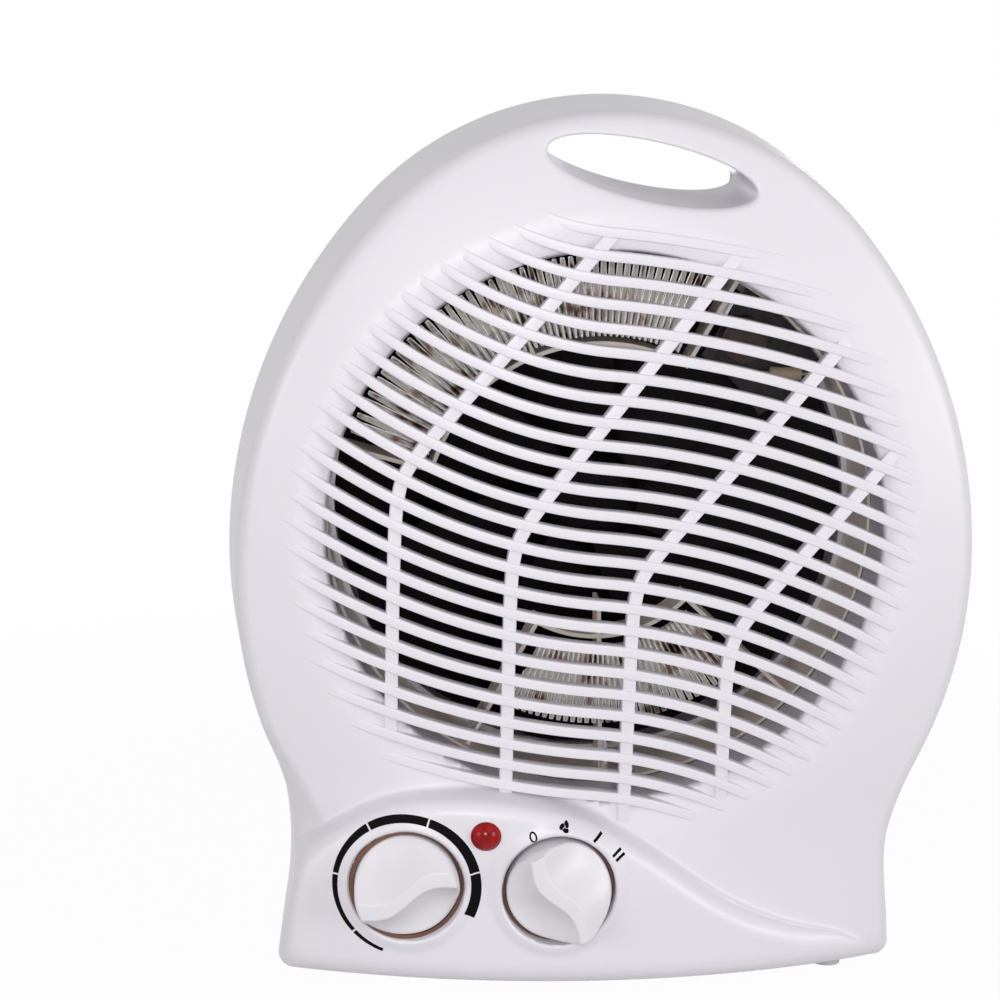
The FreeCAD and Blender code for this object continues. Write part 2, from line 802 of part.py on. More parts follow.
def impeller():
    hub = rod(fan_x, fan_z, hub_radius, -hub_front, hub_back)
    blade = Part.makeLoft([blade_section(hub_radius - 2, blade_root, blade_rise_root),
                           blade_section(blade_radius + 2, blade_tip, blade_rise_tip)], True, True)
    blade = blade.common(rod(fan_x, fan_z, blade_radius, -hub_back * 2, hub_back * 2))
    blades = [turned(blade, index * 360 / blade_count) for index in range(blade_count)]
    return fused([hub] + blades).cut(rod(fan_x, fan_z, shaft_radius, -hub_front - 1, hub_back + 1))


def stator_stack():
    body = brick(fan_x - stack_half, fan_x + stack_half, stack_front, stack_back,
                 fan_z - stack_bottom, fan_z + stack_top)
    window = brick(fan_x - window_half, fan_x + window_half, stack_front - 1, stack_back + 1,
                   fan_z - stack_bottom + core_bar, fan_z - window_top)
    body = body.cut(window).cut(rod(fan_x, fan_z, rotor_radius + air_gap, stack_front - 1, stack_back + 1))
    return body.cut(motor_screw_holes())


def motor_screw_holes():
    return Part.makeCompound([rod(fan_x + side * motor_screw_x, fan_z, motor_screw_radius, 0, rear_reach)
                              for side in (-1, 1)])


def motor_coil():
    half = window_half - coil_gap
    bottom = fan_z - stack_bottom
    outer = brick(fan_x - half, fan_x + half, stack_front - coil_thick, stack_back + coil_thick,
                  bottom - coil_thick, bottom + core_bar + coil_thick)
    inner = brick(fan_x - half - 1, fan_x + half + 1, stack_front, stack_back, bottom, bottom + core_bar)
    return outer.cut(inner)


def bracket(y_plate, y_boss):
    """A bearing bracket: a flat bar on the stack's face with a boss round the bearing."""
    low = min(y_plate, y_plate + bracket_sheet)
    bar = brick(fan_x - bracket_half, fan_x + bracket_half, low, low + bracket_sheet,
                fan_z - bracket_height / 2, fan_z + bracket_height / 2)
    boss = rod(fan_x, fan_z, bearing_radius + boss_wall, *y_boss)
    body = bar.fuse(boss).cut(rod(fan_x, fan_z, bearing_radius, y_boss[0] - 1, y_boss[1] + 1))
    return body.cut(motor_screw_holes()).removeSplitter()


def motor_mount():
    """The strap that carries the motor behind the fan, with a foot at each end on the duct's ears."""
    strap_back = stack_front - bracket_sheet
    strap_front = strap_back - strap_sheet
    half = strap_width / 2
    pieces = [brick(fan_x - strap_half - strap_sheet, fan_x + strap_half + strap_sheet, strap_front,
                    strap_back, fan_z - half, fan_z + half)]
    leg = brick(fan_x + strap_half, fan_x + strap_half + strap_sheet, -duct_back, strap_back,
                fan_z - half, fan_z + half)
    foot = brick(fan_x + strap_half, fan_x + strap_foot, -duct_back, -duct_back + strap_sheet,
                 fan_z - half, fan_z + half)
    foot = foot.cut(rod(fan_x + strap_screw_x, fan_z, screw_radius, -10, 10))
    pieces += [turned(piece, angle) for piece in (leg, foot) for angle in (0, 180)]
    body = fused(pieces).cut(motor_screw_holes())
    return body.cut(rod(fan_x, fan_z, bearing_radius + boss_wall + coil_gap, 0, rear_reach))


def mount_screws():
    seat = -duct_back + strap_sheet
    return Part.makeCompound([screw(fan_x + side * strap_screw_x, fan_z, seat, screw_length / 2)
                              for side in (-1, 1)])


def motor_screws():
    """Two screws through the strap, brackets and stack, heads towards the fan."""
    head_back = stack_front - bracket_sheet - strap_sheet
    far = stack_back + bracket_sheet + motor_nut_height
    screws = []
    for side in (-1, 1):
        x = fan_x + side * motor_screw_x
        head = rod(x, fan_z, motor_head_radius, head_back - motor_head_height, head_back)
        screws.append(rod(x, fan_z, motor_screw_radius, head_back, far).fuse(head).removeSplitter())
    return Part.makeCompound(screws)


def hex_nut(x, z, flats, bore, y_from, y_to):
    corners = [spot(flats / math.sqrt(3), 60 * index, 0, (x, z)) for index in range(6)]
    return slab(polygon(corners), y_from, y_to).cut(rod(x, z, bore, y_from - 1, y_to + 1))


def motor_nuts():
    near = stack_back + bracket_sheet
    return Part.makeCompound([hex_nut(fan_x + side * motor_screw_x, fan_z, 2 * motor_head_radius,
                                      motor_screw_radius, near, near + motor_nut_height)
                              for side in (-1, 1)])


# Controls


def grip(x, angle):
    """The S-shaped ridge across a knob's face."""
    face_y = panel_y(x)
    reach = knob_radius + 1
    sides = []
    for half in (grip_width / 2, -grip_width / 2):
        curve = Part.BSplineCurve()
        curve.interpolate([Vector(x + u * reach, 0, knob_z + half + v * grip_sweep)
                           for u, v in ((-1, 0), (-0.5, -1), (0, 0), (0.5, 1), (1, 0))])
        sides.append(curve)
    edges = [side.toShape() for side in sides]
    edges.append(Part.makeLine(sides[0].StartPoint, sides[1].StartPoint))
    edges.append(Part.makeLine(sides[0].EndPoint, sides[1].EndPoint))
    ridge = slab(edges, face_y - grip_height, face_y + 1)
    ridge = ridge.common(rod(x, knob_z, knob_radius, face_y - grip_height, face_y + 1))
    return turned(ridge, angle, x, knob_z)


def knob(x, angle):
    face_y = panel_y(x)
    body = rod(x, knob_z, knob_radius, face_y, -knob_back)
    hub = rod(x, knob_z, knob_hub_radius, -knob_back, -knob_hub_back)
    bore = rod(x, knob_z, spindle_radius, -spindle_front, 0)
    return fused([body, hub, grip(x, angle)]).cut(bore)


def spindle(x):
    return rod(x, knob_z, spindle_radius, -spindle_front, -spindle_back)


def switch_body(x):
    """A switch or thermostat base with its threaded bush, behind the control plate."""
    plate_back = -plate_front + plate_sheet
    body = brick(x - switch_half, x + switch_half, plate_back, plate_back + switch_depth,
                 knob_z - switch_half, knob_z + switch_half)
    bush = rod(x, knob_z, bush_radius, -bush_front, plate_back + 1)
    bore = rod(x, knob_z, spindle_radius + running, -bush_front - 1, -spindle_back + bore_end)
    return fused([body, bush]).cut(bore)


def bush_nut(x):
    return hex_nut(x, knob_z, nut_flats, bush_radius, -plate_front - nut_thick, -plate_front)


def thermostat_bimetal():
    """The bimetal strip on the rear of the thermostat's base, with its contact."""
    near = switch_back()
    z = knob_z + switch_half - bimetal_width
    half = bimetal_length / 2
    strip = brick(thermostat_x - half, thermostat_x + half, near, near + bimetal_sheet,
                  z - bimetal_width / 2, z + bimetal_width / 2)
    button = rod(thermostat_x + half - bimetal_width / 2, z, bimetal_width / 4, near, near + 2 * bimetal_sheet)
    return fused([strip, button])


def control_plate():
    plate = brick(plate_edges[0], plate_edges[1], -plate_front, -plate_front + plate_sheet,
                  plate_bottom, plate_top)
    holes = [rod(x, knob_z, bush_radius, -bush_front, 0) for x in knob_places()]
    holes += [rod(x, plate_post_z, plate_screw_radius, -bush_front, 0) for x in plate_post_x]
    return plate.cut(Part.makeCompound(holes))


def plate_screws():
    seat = -plate_front + plate_sheet
    return Part.makeCompound([screw(x, plate_post_z, seat, 6, plate_screw_radius, plate_post_radius * 0.9)
                              for x in plate_post_x])


def indicator_lens():
    """A domed lens whose barrel fills its hole in the panel."""
    face_y = panel_y(lens_x)
    radius = (lens_radius ** 2 + lens_dome ** 2) / (2 * lens_dome)
    ball = Part.makeSphere(radius, Vector(lens_x, face_y - lens_dome + radius, lens_z))
    barrel = rod(lens_x, lens_z, lens_radius, face_y - lens_dome, face_y + lens_barrel)
    cap = ball.common(rod(lens_x, lens_z, lens_radius, face_y - lens_dome, face_y))
    body = fused([cap, barrel.common(rod(lens_x, lens_z, lens_radius, face_y, face_y + lens_barrel))])
    return body.cut(rod(lens_x, lens_z, lamp_radius, face_y + wall, face_y + lens_barrel + 1))


def indicator_lamp():
    """A small glass lamp pushed into the rear of the lens."""
    start = panel_y(lens_x) + wall
    return rod(lens_x, lens_z, lamp_radius, start, start + lamp_length)


# Terminals and leads


def block_bottom():
    return floor_z + wall + pedestal_height


def terminal_block():
    length, width, height = block_size
    block = brick(block_x - length / 2, block_x + length / 2, block_y - width / 2, block_y + width / 2,
                  block_bottom(), block_bottom() + height)
    return block.cut(block_screw_holes())


def block_screw_holes():
    top = block_bottom() + block_size[2]
    return Part.makeCompound([Part.makeCylinder(block_screw_radius, block_size[2] / 2,
                                                Vector(block_x + x, block_y, top - block_size[2] / 2))
                              for x in block_screw_x])


def terminal_screws():
    slot = Part.makeCompound([brick(block_x + x - block_screw_radius, block_x + x + block_screw_radius,
                                    block_y - 0.4, block_y + 0.4, block_bottom() + block_size[2] - 1,
                                    block_bottom() + block_size[2] + 1) for x in block_screw_x])
    return block_screw_holes().cut(slot)


def lead(points):
    """An insulated lead: straight runs joined by tangent arcs as large as the runs allow."""
    corners = [Vector(*point) for point in points]
    edges = []
    last = corners[0]
    for before, corner, after in zip(corners, corners[1:], corners[2:]):
        into = (corner - before).normalize()
        out = (after - corner).normalize()
        half_turn = into.getAngle(out) / 2
        trim = 0.45 * min((corner - before).Length, (after - corner).Length)
        start = corner - into * trim
        end = corner + out * trim
        bow = trim * math.tan(half_turn)
        inward = (out - into).normalize()
        sag = bow * (1 / math.cos(half_turn) - 1) if half_turn else 0
        radius = trim / math.tan(half_turn)
        middle = corner + inward * (radius / math.cos(half_turn) - radius)
        edges += [Part.makeLine(last, start), Part.Arc(start, middle, end).toShape()]
        last = end
    edges.append(Part.makeLine(last, corners[-1]))
    path = Part.Wire(edges)
    section = Part.Wire([Part.makeCircle(lead_radius, corners[0], corners[1] - corners[0])])
    return path.makePipeShell([section], True, False)


def switch_back():
    return -plate_front + plate_sheet + switch_depth


def lead_selector():
    start = block_y - block_size[1] / 2
    z = block_bottom() + block_size[2] / 2
    end = (selector_x + 4, switch_back(), 28)
    return lead([(block_x - 8, start, z), (block_x - 8, start - 13, z), (end[0], end[1] + 16, end[2]), end])


def lead_thermostat():
    start = block_y - block_size[1] / 2
    z = block_bottom() + 2 * lead_radius
    end = (thermostat_x, switch_back(), 28)
    return lead([(block_x, start, z), (block_x, start - 18, z), (end[0], end[1] + 14, end[2]), end])


def lead_element():
    tab = spot(tab_radius + tab_length, lower_angles[1])
    x = tab.x + board_sheet / 2 + tab_sheet / 2
    y = -board_front - 2 * lead_radius
    end = (selector_x + 6, switch_back(), 38)
    return lead([(x, y, tab.z), (x, y, 47), (x - 4, end[1] + 14, 42), (end[0], end[1] + 14, 38), end])


def lead_motor():
    top = block_bottom() + block_size[2]
    coil_z = fan_z - stack_bottom - coil_thick
    y = stack_front + stack_length / 2
    return lead([(block_x - 12, block_y, top), (block_x - 12, block_y, top + 14), (8, y - 4, coil_z - 16),
                 (fan_x + 4, y, coil_z - 10), (fan_x + 4, y, coil_z)])


front_reach = grip_height - panel_y(selector_x)
move_y = (front_reach - rear_reach) / 2
plate_y = stack_front - bracket_sheet
nodes = {
    "front_shell": front_shell,
    "front_grille": front_grille,
    "rear_shell": rear_shell,
    "rear_grille": rear_grille,
    "rubber_feet": rubber_feet,
    "shell_screws": shell_screws,
    "cord_bush": cord_bush,
    "air_duct": air_duct,
    "duct_screws": duct_screws,
    "mica_tube": mica_tube,
    "mica_frame_upper": lambda: mica_frame(upper_radii, upper_angles, [upper_radii[0] - board_sheet] * 3),
    "mica_frame_lower": lambda: mica_frame(lower_radii, lower_angles,
                                           [lower_radii[0] - board_sheet, lower_tip_radius,
                                            lower_radii[0] - board_sheet]),
    "heater_wire_upper": lambda: heater_wire(upper_radii, upper_angles, fold_count_upper),
    "heater_wire_lower": lambda: heater_wire(lower_radii, lower_angles, fold_count_lower),
    "element_terminals": element_terminals,
    "safety_bracket": safety_bracket,
    "thermal_cutout": thermal_cutout,
    "thermal_fuse": thermal_fuse,
    "impeller": impeller,
    "motor_shaft": lambda: rod(fan_x, fan_z, shaft_radius, -shaft_front, shaft_back),
    "motor_rotor": lambda: ring(fan_x, fan_z, rotor_radius, shaft_radius, stack_front + rotor_inset,
                                stack_back - rotor_inset),
    "stator_stack": stator_stack,
    "motor_coil": motor_coil,
    "bracket_front": lambda: bracket(plate_y, (stack_front - bearing_length, stack_front)),
    "bracket_rear": lambda: bracket(stack_back, (stack_back, stack_back + bearing_length)),
    "bearing_front": lambda: ring(fan_x, fan_z, bearing_radius, shaft_radius + running,
                                  stack_front - bearing_length, stack_front),
    "bearing_rear": lambda: ring(fan_x, fan_z, bearing_radius, shaft_radius + running, stack_back,
                                 stack_back + bearing_length),
    "motor_screws": motor_screws,
    "motor_nuts": motor_nuts,
    "motor_mount": motor_mount,
    "mount_screws": mount_screws,
    "control_plate": control_plate,
    "plate_screws": plate_screws,
    "thermostat_knob": lambda: knob(thermostat_x, thermostat_angle),
    "thermostat_spindle": lambda: spindle(thermostat_x),
    "thermostat_body": lambda: switch_body(thermostat_x),
    "thermostat_bimetal": thermostat_bimetal,
    "thermostat_nut": lambda: bush_nut(thermostat_x),
    "selector_knob": lambda: knob(selector_x, selector_angle),
    "selector_spindle": lambda: spindle(selector_x),
    "selector_switch": lambda: switch_body(selector_x),
    "selector_nut": lambda: bush_nut(selector_x),
    "indicator_lens": indicator_lens,
    "indicator_lamp": indicator_lamp,
    "terminal_block": terminal_block,
    "terminal_screws": terminal_screws,
    "lead_selector": lead_selector,
    "lead_thermostat": lead_thermostat,
    "lead_element": lead_element,
    "lead_motor": lead_motor,
}

for node_name, make in nodes.items():
    save(node_name, make())
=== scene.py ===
import math

import bmesh
import bpy
import numpy as np
from mathutils import Matrix, Vector, geometry
from mathutils.kdtree import KDTree


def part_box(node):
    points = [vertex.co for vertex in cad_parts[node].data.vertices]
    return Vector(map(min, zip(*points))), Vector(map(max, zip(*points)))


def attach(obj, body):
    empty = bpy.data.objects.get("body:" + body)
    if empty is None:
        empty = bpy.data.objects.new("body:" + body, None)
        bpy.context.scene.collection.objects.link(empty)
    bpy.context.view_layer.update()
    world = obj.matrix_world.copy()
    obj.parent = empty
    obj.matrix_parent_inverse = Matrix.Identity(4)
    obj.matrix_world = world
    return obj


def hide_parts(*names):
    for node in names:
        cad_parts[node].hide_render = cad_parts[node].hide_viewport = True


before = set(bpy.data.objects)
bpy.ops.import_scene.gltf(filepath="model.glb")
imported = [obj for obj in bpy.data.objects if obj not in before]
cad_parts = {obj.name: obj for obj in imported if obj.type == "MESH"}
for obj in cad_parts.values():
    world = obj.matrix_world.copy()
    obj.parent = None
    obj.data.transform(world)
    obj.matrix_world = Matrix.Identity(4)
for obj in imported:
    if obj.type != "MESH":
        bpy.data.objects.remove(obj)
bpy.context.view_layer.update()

# Shapes are worked out in millimetres, with y = 0 where the two casing halves meet, then set in the frame.
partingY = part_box("front_shell")[1].y * 1000
fullTurn = 2 * math.pi


def metres(points):
    return (np.asarray(points, float) + (0, partingY, 0)) * 0.001


def middle(node):
    low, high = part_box(node)
    return (low + high) * 500 - Vector((0, partingY, 0))


def plainMesh(name, points, faces, turnOut=False):
    mesh = bpy.data.meshes.new(name)
    mesh.from_pydata([tuple(point) for point in metres(points)], [], [tuple(one) for one in faces])
    if turnOut:
        loose = bmesh.new()
        loose.from_mesh(mesh)
        bmesh.ops.recalc_face_normals(loose, faces=loose.faces)
        loose.to_mesh(mesh)
        loose.free()
    return mesh


def finishPiece(name, mesh, material, body="casing", smoothAngle=35):
    mesh.name = name
    mesh.materials.clear()
    mesh.materials.append(material)
    mesh.shade_smooth()
    mesh.set_sharp_from_angle(angle=math.radians(smoothAngle))
    piece = bpy.data.objects.new(name, mesh)
    bpy.context.scene.collection.objects.link(piece)
    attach(piece, body)
    return piece


def evaluatedMesh(piece):
    graph = bpy.context.evaluated_depsgraph_get()
    graph.update()
    return bpy.data.meshes.new_from_object(piece.evaluated_get(graph), depsgraph=graph)


class Flow:
    # one socket of a node tree; an expression on Flows adds the Math nodes it needs
    def __init__(self, tree, socket=None):
        self.tree = tree
        self.socket = socket

    def add(self, kind, settings=None, inputs=None, output=0):
        node = self.tree.nodes.new(kind)
        for name, value in (settings or {}).items():
            if name == "stops":
                self.setStops(node.color_ramp, value)
            else:
                setattr(node, name, value)
        self.feed(node, inputs or {})
        return Flow(self.tree, node.outputs[output])

    def feed(self, node, inputs):
        for name, value in inputs.items():
            if isinstance(value, Flow):
                self.tree.links.new(value.socket, node.inputs[name])
            else:
                node.inputs[name].default_value = value

    def setStops(self, ramp, stops):
        while len(ramp.elements) < len(stops):
            ramp.elements.new(0.5)
        for element, (place, colour) in zip(ramp.elements, stops):
            element.position = place
            element.color = colour

    def maths(self, operation, *values):
        return self.add("ShaderNodeMath", {"operation": operation}, dict(enumerate(values)))

    def within(self, low, high):
        return self.maths("MINIMUM", self.maths("MAXIMUM", self, low), high)

    def parts(self, names="XYZ"):
        return [self.add("ShaderNodeSeparateXYZ", {}, {"Vector": self}, name) for name in names]

    def __add__(self, other):
        return self.maths("ADD", self, other)

    __radd__ = __add__

    def __sub__(self, other):
        return self.maths("SUBTRACT", self, other)

    def __rsub__(self, other):
        return self.maths("SUBTRACT", other, self)

    def __mul__(self, other):
        return self.maths("MULTIPLY", self, other)

    __rmul__ = __mul__

    def __truediv__(self, other):
        return self.maths("DIVIDE", self, other)

    def __pow__(self, other):
        return self.maths("POWER", self, other)


# Materials: each finish turns a flow, the Object coordinates and its own values into shader sockets.

def linear(colour):
    # screen colour 0-255 to the linear colour that shaders use
    parts = [part / 255 for part in colour]
    parts = [part / 12.92 if part <= 0.04045 else ((part + 0.055) / 1.055) ** 2.4 for part in parts]
    return (*parts, 1.0)


def noise(flow, place, scale, detail=2.0, roughness=0.5):
    return flow.add("ShaderNodeTexNoise", {}, {"Vector": place, "Scale": scale, "Detail": detail,
                                               "Roughness": roughness}, "Fac")


def cells(flow, place, scale, channel):
    colour = flow.add("ShaderNodeTexVoronoi", {"feature": "F1"}, {"Vector": place, "Scale": scale}, "Color")
    return flow.add("ShaderNodeSeparateColor", {}, {"Color": colour}, channel)


def tones(flow, share, colour, shade):
    return flow.add("ShaderNodeMix", {"data_type": "RGBA", "blend_type": "MIX"},
                    {0: share, 6: linear(colour), 7: linear(shade)}, 2)


def bump(flow, height, strength, distance):
    return flow.add("ShaderNodeBump", {}, {"Height": height, "Strength": strength, "Distance": distance},
                    "Normal")


plasticLook = {
    "clouding": 0.35,       # how far the tone drifts over the moulding
    "cloudScale": 9.0,
    "grainScale": 1500.0,   # fine spark-eroded grain
    "grainStrength": 0.12,
    "grainDepth": 0.00003,
    "coatRoughness": 0.12,
}


def mouldedPlastic(flow, place, colour, shade, roughness, specular=0.5, grain=1.0, coat=0.0):
    # slow drift between two close tones, fine surface grain, uneven gloss
    look = plasticLook
    drift = noise(flow, place, look["cloudScale"])
    grainHeight = noise(flow, place, look["grainScale"], 1.0)
    return {"Base Color": tones(flow, drift * look["clouding"], colour, shade),
            "Roughness": roughness - 0.04 + 0.08 * noise(flow, place, 40.0),
            "Normal": bump(flow, grainHeight, look["grainStrength"] * grain, look["grainDepth"]),
            "Coat Weight": coat,
            "Coat Roughness": look["coatRoughness"],
            "Specular IOR Level": specular}


def sheetMetal(flow, place, colour, shade, roughness, metallic):
    # zinc-coated sheet: crystal patches of slightly different tone and gloss
    patch = cells(flow, place, 260.0, "Red")
    scuff = noise(flow, place, 900.0, 3.0)
    return {"Base Color": tones(flow, patch * 0.7 + scuff * 0.2, colour, shade),
            "Metallic": metallic,
            "Roughness": roughness + 0.12 * patch,
            "Normal": bump(flow, scuff, 0.15, 0.00005)}


def turnedMetal(flow, place, colour, shade, roughness):
    # machined or plated part: fine drag marks and a little tarnish
    drag = flow.add("ShaderNodeTexWave", {"wave_type": "RINGS", "rings_direction": "Y"},
                    {"Vector": place, "Scale": 900.0, "Distortion": 1.5}, "Fac")
    tarnish = noise(flow, place, 160.0, 3.0)
    return {"Base Color": tones(flow, tarnish, colour, shade),
            "Metallic": 1.0,
            "Roughness": roughness + 0.12 * tarnish,
            "Normal": bump(flow, drag, 0.08, 0.00004)}


def micaBoard(flow, place, colour, fleck):
    # pressed mica: smoky, with glints of flake
    flake = cells(flow, place, 700.0, "Green")
    smoke = noise(flow, place, 45.0, 3.0)
    return {"Base Color": tones(flow, smoke * 0.5 + flake * 0.35, colour, fleck),
            "Roughness": 0.62 - 0.25 * flake,
            "Normal": bump(flow, flake + smoke, 0.2, 0.0001)}


def heatedRibbon(flow, place, stops):
    # bright ribbon with brown and dark heat stains
    heat = noise(flow, place, 150.0, 2.0, 0.6)
    stops = [(share, linear(colour)) for share, colour in stops]
    return {"Base Color": flow.add("ShaderNodeValToRGB", {"stops": stops}, {"Fac": heat}, "Color"),
            "Metallic": 0.45,
            "Roughness": 0.3 + 0.2 * heat,
            "Normal": bump(flow, heat, 0.2, 0.0001)}


def windings(flow, place, colour, shade):
    # enamelled copper laid in turns
    wound = flow.add("ShaderNodeTexWave", {"wave_type": "BANDS", "bands_direction": "X"},
                     {"Vector": place, "Scale": 900.0, "Distortion": 2.0, "Detail Scale": 30.0}, "Fac")
    return {"Base Color": tones(flow, wound, colour, shade),
            "Metallic": 0.6,
            "Roughness": 0.3 + 0.1 * wound,
            "Normal": bump(flow, wound, 0.7, 0.0003)}


def laminations(flow, place, colour, shade):
    # stamped steel sheets stacked along y
    sheets = flow.add("ShaderNodeTexWave", {"wave_type": "BANDS", "bands_direction": "Y"},
                      {"Vector": place, "Scale": 310.0}, "Fac")
    rust = noise(flow, place, 120.0, 4.0)
    return {"Base Color": tones(flow, rust * 0.6 + sheets * 0.3, colour, shade),
            "Metallic": 0.85,
            "Roughness": 0.42 + 0.15 * rust,
            "Normal": bump(flow, sheets, 0.6, 0.0002)}


def lensPlastic(flow, place, colour, shade):
    # red styrene, uneven in its depth
    depth = noise(flow, place, 420.0, 1.0)
    return {"Base Color": tones(flow, depth, colour, shade),
            "Roughness": 0.1 + 0.05 * depth,
            "Specular IOR Level": 0.22,
            "Normal": bump(flow, depth, 0.25, 0.0004)}


def insulation(flow, place, colour, shade):
    # soft insulation, slightly uneven
    smudge = noise(flow, place, 70.0, 3.0)
    return {"Base Color": tones(flow, smudge, colour, shade),
            "Roughness": 0.45 + 0.15 * smudge,
            "Normal": bump(flow, noise(flow, place, 1200.0), 0.1, 0.00005)}


def mattRubber(flow, place, colour, shade):
    # matt rubber with a dusty bloom
    bloom = noise(flow, place, 220.0, 4.0)
    return {"Base Color": tones(flow, bloom, colour, shade),
            "Roughness": 0.68 + 0.15 * bloom,
            "Normal": bump(flow, bloom, 0.3, 0.0001)}


def padInk(flow, place, colour, shade):
    # pad-printed ink, a little thin in places
    coverage = noise(flow, place, 800.0)
    return {"Base Color": tones(flow, coverage * 0.4, colour, shade),
            "Roughness": 0.55 + 0.2 * coverage,
            "Specular IOR Level": 0.06,
            "Normal": bump(flow, coverage, 0.1, 0.00003)}


finishes = {
    "whiteCasingPlastic": (mouldedPlastic, (230, 227, 233), (222, 219, 226), 0.36),
    "whiteKnobPlastic": (mouldedPlastic, (230, 227, 232), (220, 217, 223), 0.32),
    "blackFanPlastic": (mouldedPlastic, (9, 8, 10), (5, 5, 6), 0.55, 0.12),
    # switch-base brown, which also colours the knob sleeves, where it is painted shade
    "brownPhenolicAndWellShade": (mouldedPlastic, (112, 76, 56), (82, 54, 40), 0.45),
    "naturalNylon": (mouldedPlastic, (214, 206, 188), (198, 188, 166), 0.45),
    "blackBushPlastic": (mouldedPlastic, (30, 30, 32), (22, 22, 24), 0.5),
    "cutoutPhenolic": (mouldedPlastic, (42, 36, 34), (30, 26, 25), 0.38),
    "neonLampGlass": (mouldedPlastic, (226, 120, 90), (196, 86, 60), 0.1, 0.5, 0.3, 0.6),
    "galvanisedSheet": (sheetMetal, (244, 244, 246), (224, 225, 229), 0.26, 0.35),
    "zincPlatedSteel": (turnedMetal, (196, 198, 202), (150, 150, 152), 0.26),
    "groundShaftSteel": (turnedMetal, (186, 188, 192), (128, 128, 132), 0.2),
    "brassParts": (turnedMetal, (206, 172, 96), (160, 124, 62), 0.26),
    "pressedMica": (micaBoard, (255, 247, 238), (248, 232, 220)),
    # mica given a near-black colour, as dark as the fan plastic, used for the safety bracket
    "nearBlackMica": (micaBoard, (9, 8, 8), (4, 4, 4)),
    "sootyCeramic": (micaBoard, (70, 45, 32), (24, 17, 14)),
    "resistanceRibbon": (heatedRibbon,
                         [(0.28, (96, 78, 70)), (0.38, (206, 186, 172)), (0.48, (252, 250, 247))]),
    "enamelledCopper": (windings, (104, 44, 18), (190, 98, 48)),
    "stampedLaminations": (laminations, (150, 150, 152), (86, 74, 66)),
    "redLens": (lensPlastic, (190, 0, 8), (84, 0, 4)),
    "fuseShadeSleeve": (insulation, (206, 190, 164), (172, 152, 122)),
    "brownShadeSleeve": (insulation, (104, 60, 34), (78, 42, 22)),
    "blueShadeSleeve": (insulation, (44, 84, 158), (30, 62, 124)),
    "whiteGlassShadeSleeve": (insulation, (226, 222, 214), (196, 190, 178)),
    "paleRubber": (mattRubber, (206, 204, 204), (188, 186, 188)),
    "blackInk": (padInk, (8, 7, 9), (20, 18, 21)),
}


def makeMaterial(name, finish, *values):
    material = bpy.data.materials.new(name)
    material.use_nodes = True
    flow = Flow(material.node_tree)
    place = flow.add("ShaderNodeTexCoord", output="Object")
    flow.feed(material.node_tree.nodes["Principled BSDF"], finish(flow, place, *values))
    return material


made = {name: makeMaterial(name, *finish) for name, finish in finishes.items()}
print("materials ready:", len(made))

# Carried-over nodes keep their shape and take the finish of their slot.
nodeFinish = {"safety_bracket": "nearBlackMica", "thermal_cutout": "sootyCeramic"}
slotFinish = {
    "casing": "whiteCasingPlastic", "knob": "whiteKnobPlastic", "lens": "redLens", "feet": "paleRubber",
    "screw": "zincPlatedSteel", "brass_part": "brassParts", "bush": "blackBushPlastic",
    "duct_steel": "galvanisedSheet", "shaft_steel": "groundShaftSteel", "lamination": "stampedLaminations",
    "coil": "enamelledCopper", "mica": "pressedMica", "heating_wire": "resistanceRibbon",
    "cutout": "cutoutPhenolic", "fuse": "fuseShadeSleeve", "fan_plastic": "blackFanPlastic",
    "spindle": "naturalNylon", "switch_base": "brownPhenolicAndWellShade", "lamp": "neonLampGlass",
    "block": "naturalNylon", "lead_brown": "brownShadeSleeve", "lead_blue": "blueShadeSleeve",
    "lead_white": "whiteGlassShadeSleeve",
}
for name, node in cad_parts.items():
    for place in node.material_slots:
        place.material = made[nodeFinish.get(name, slotFinish[place.material.name.split(".")[0]])]
print("carried-over nodes finished:", len(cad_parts))

# Surfaces: an area in x and z, triangulated with its drawn lines kept as edges, then lifted in y.

fillClearance = 0.55  # of the spacing, from a drawn line to the nearest filled point


class Area:
    def __init__(self):
        self.points = []
        self.edges = []

    def addPoints(self, points):
        start = len(self.points)
        self.points += [tuple(point) for point in points]
        return list(range(start, len(self.points)))

    def addLoop(self, points):
        numbers = self.addPoints(points)
        self.edges += list(zip(numbers, numbers[1:] + numbers[:1]))
        return numbers

    def addLine(self, points, keep):
        # a drawn line, left out wherever keep is false
        numbers = self.addPoints(points[keep])
        kept = np.flatnonzero(keep)
        for first, second, a, b in zip(numbers, numbers[1:], kept, kept[1:]):
            if b == a + 1:
                self.edges.append((first, second))

    def fill(self, spacing, inside):
        # staggered points over the area, clear of the lines
        drawn = KDTree(len(self.points))
        for number, (x, z) in enumerate(self.points):
            drawn.insert((x, z, 0), number)
        drawn.balance()
        low = np.min(self.points, axis=0)
        high = np.max(self.points, axis=0)
        rows = np.arange(low[1] + spacing / 2, high[1], spacing * 0.87)
        grid = np.array([(x + spacing / 2 * (row % 2), z) for row, z in enumerate(rows)
                         for x in np.arange(low[0] + spacing / 3, high[0], spacing)])
        grid = grid[inside(grid[:, 0], grid[:, 1])]
        far = [drawn.find((x, z, 0))[2] > fillClearance * spacing for x, z in grid]
        self.addPoints(grid[far])

    def skin(self, inside, height):
        # the triangles inside the area, facing the front, as a Skin that knows where each point went
        flat, _, faces, origins, _, _ = geometry.delaunay_2d_cdt(
            [Vector(point) for point in self.points], self.edges, [], 0, 1e-5)
        flat = np.array(flat)
        faces = np.array(faces)
        centres = flat[faces].mean(axis=1)
        faces = faces[inside(centres[:, 0], centres[:, 1])]
        places = {one: number for number, given in enumerate(origins) for one in given}
        x, z = flat[:, 0], flat[:, 1]
        return Skin(np.column_stack([x, height(x, z), z]), faces, places)


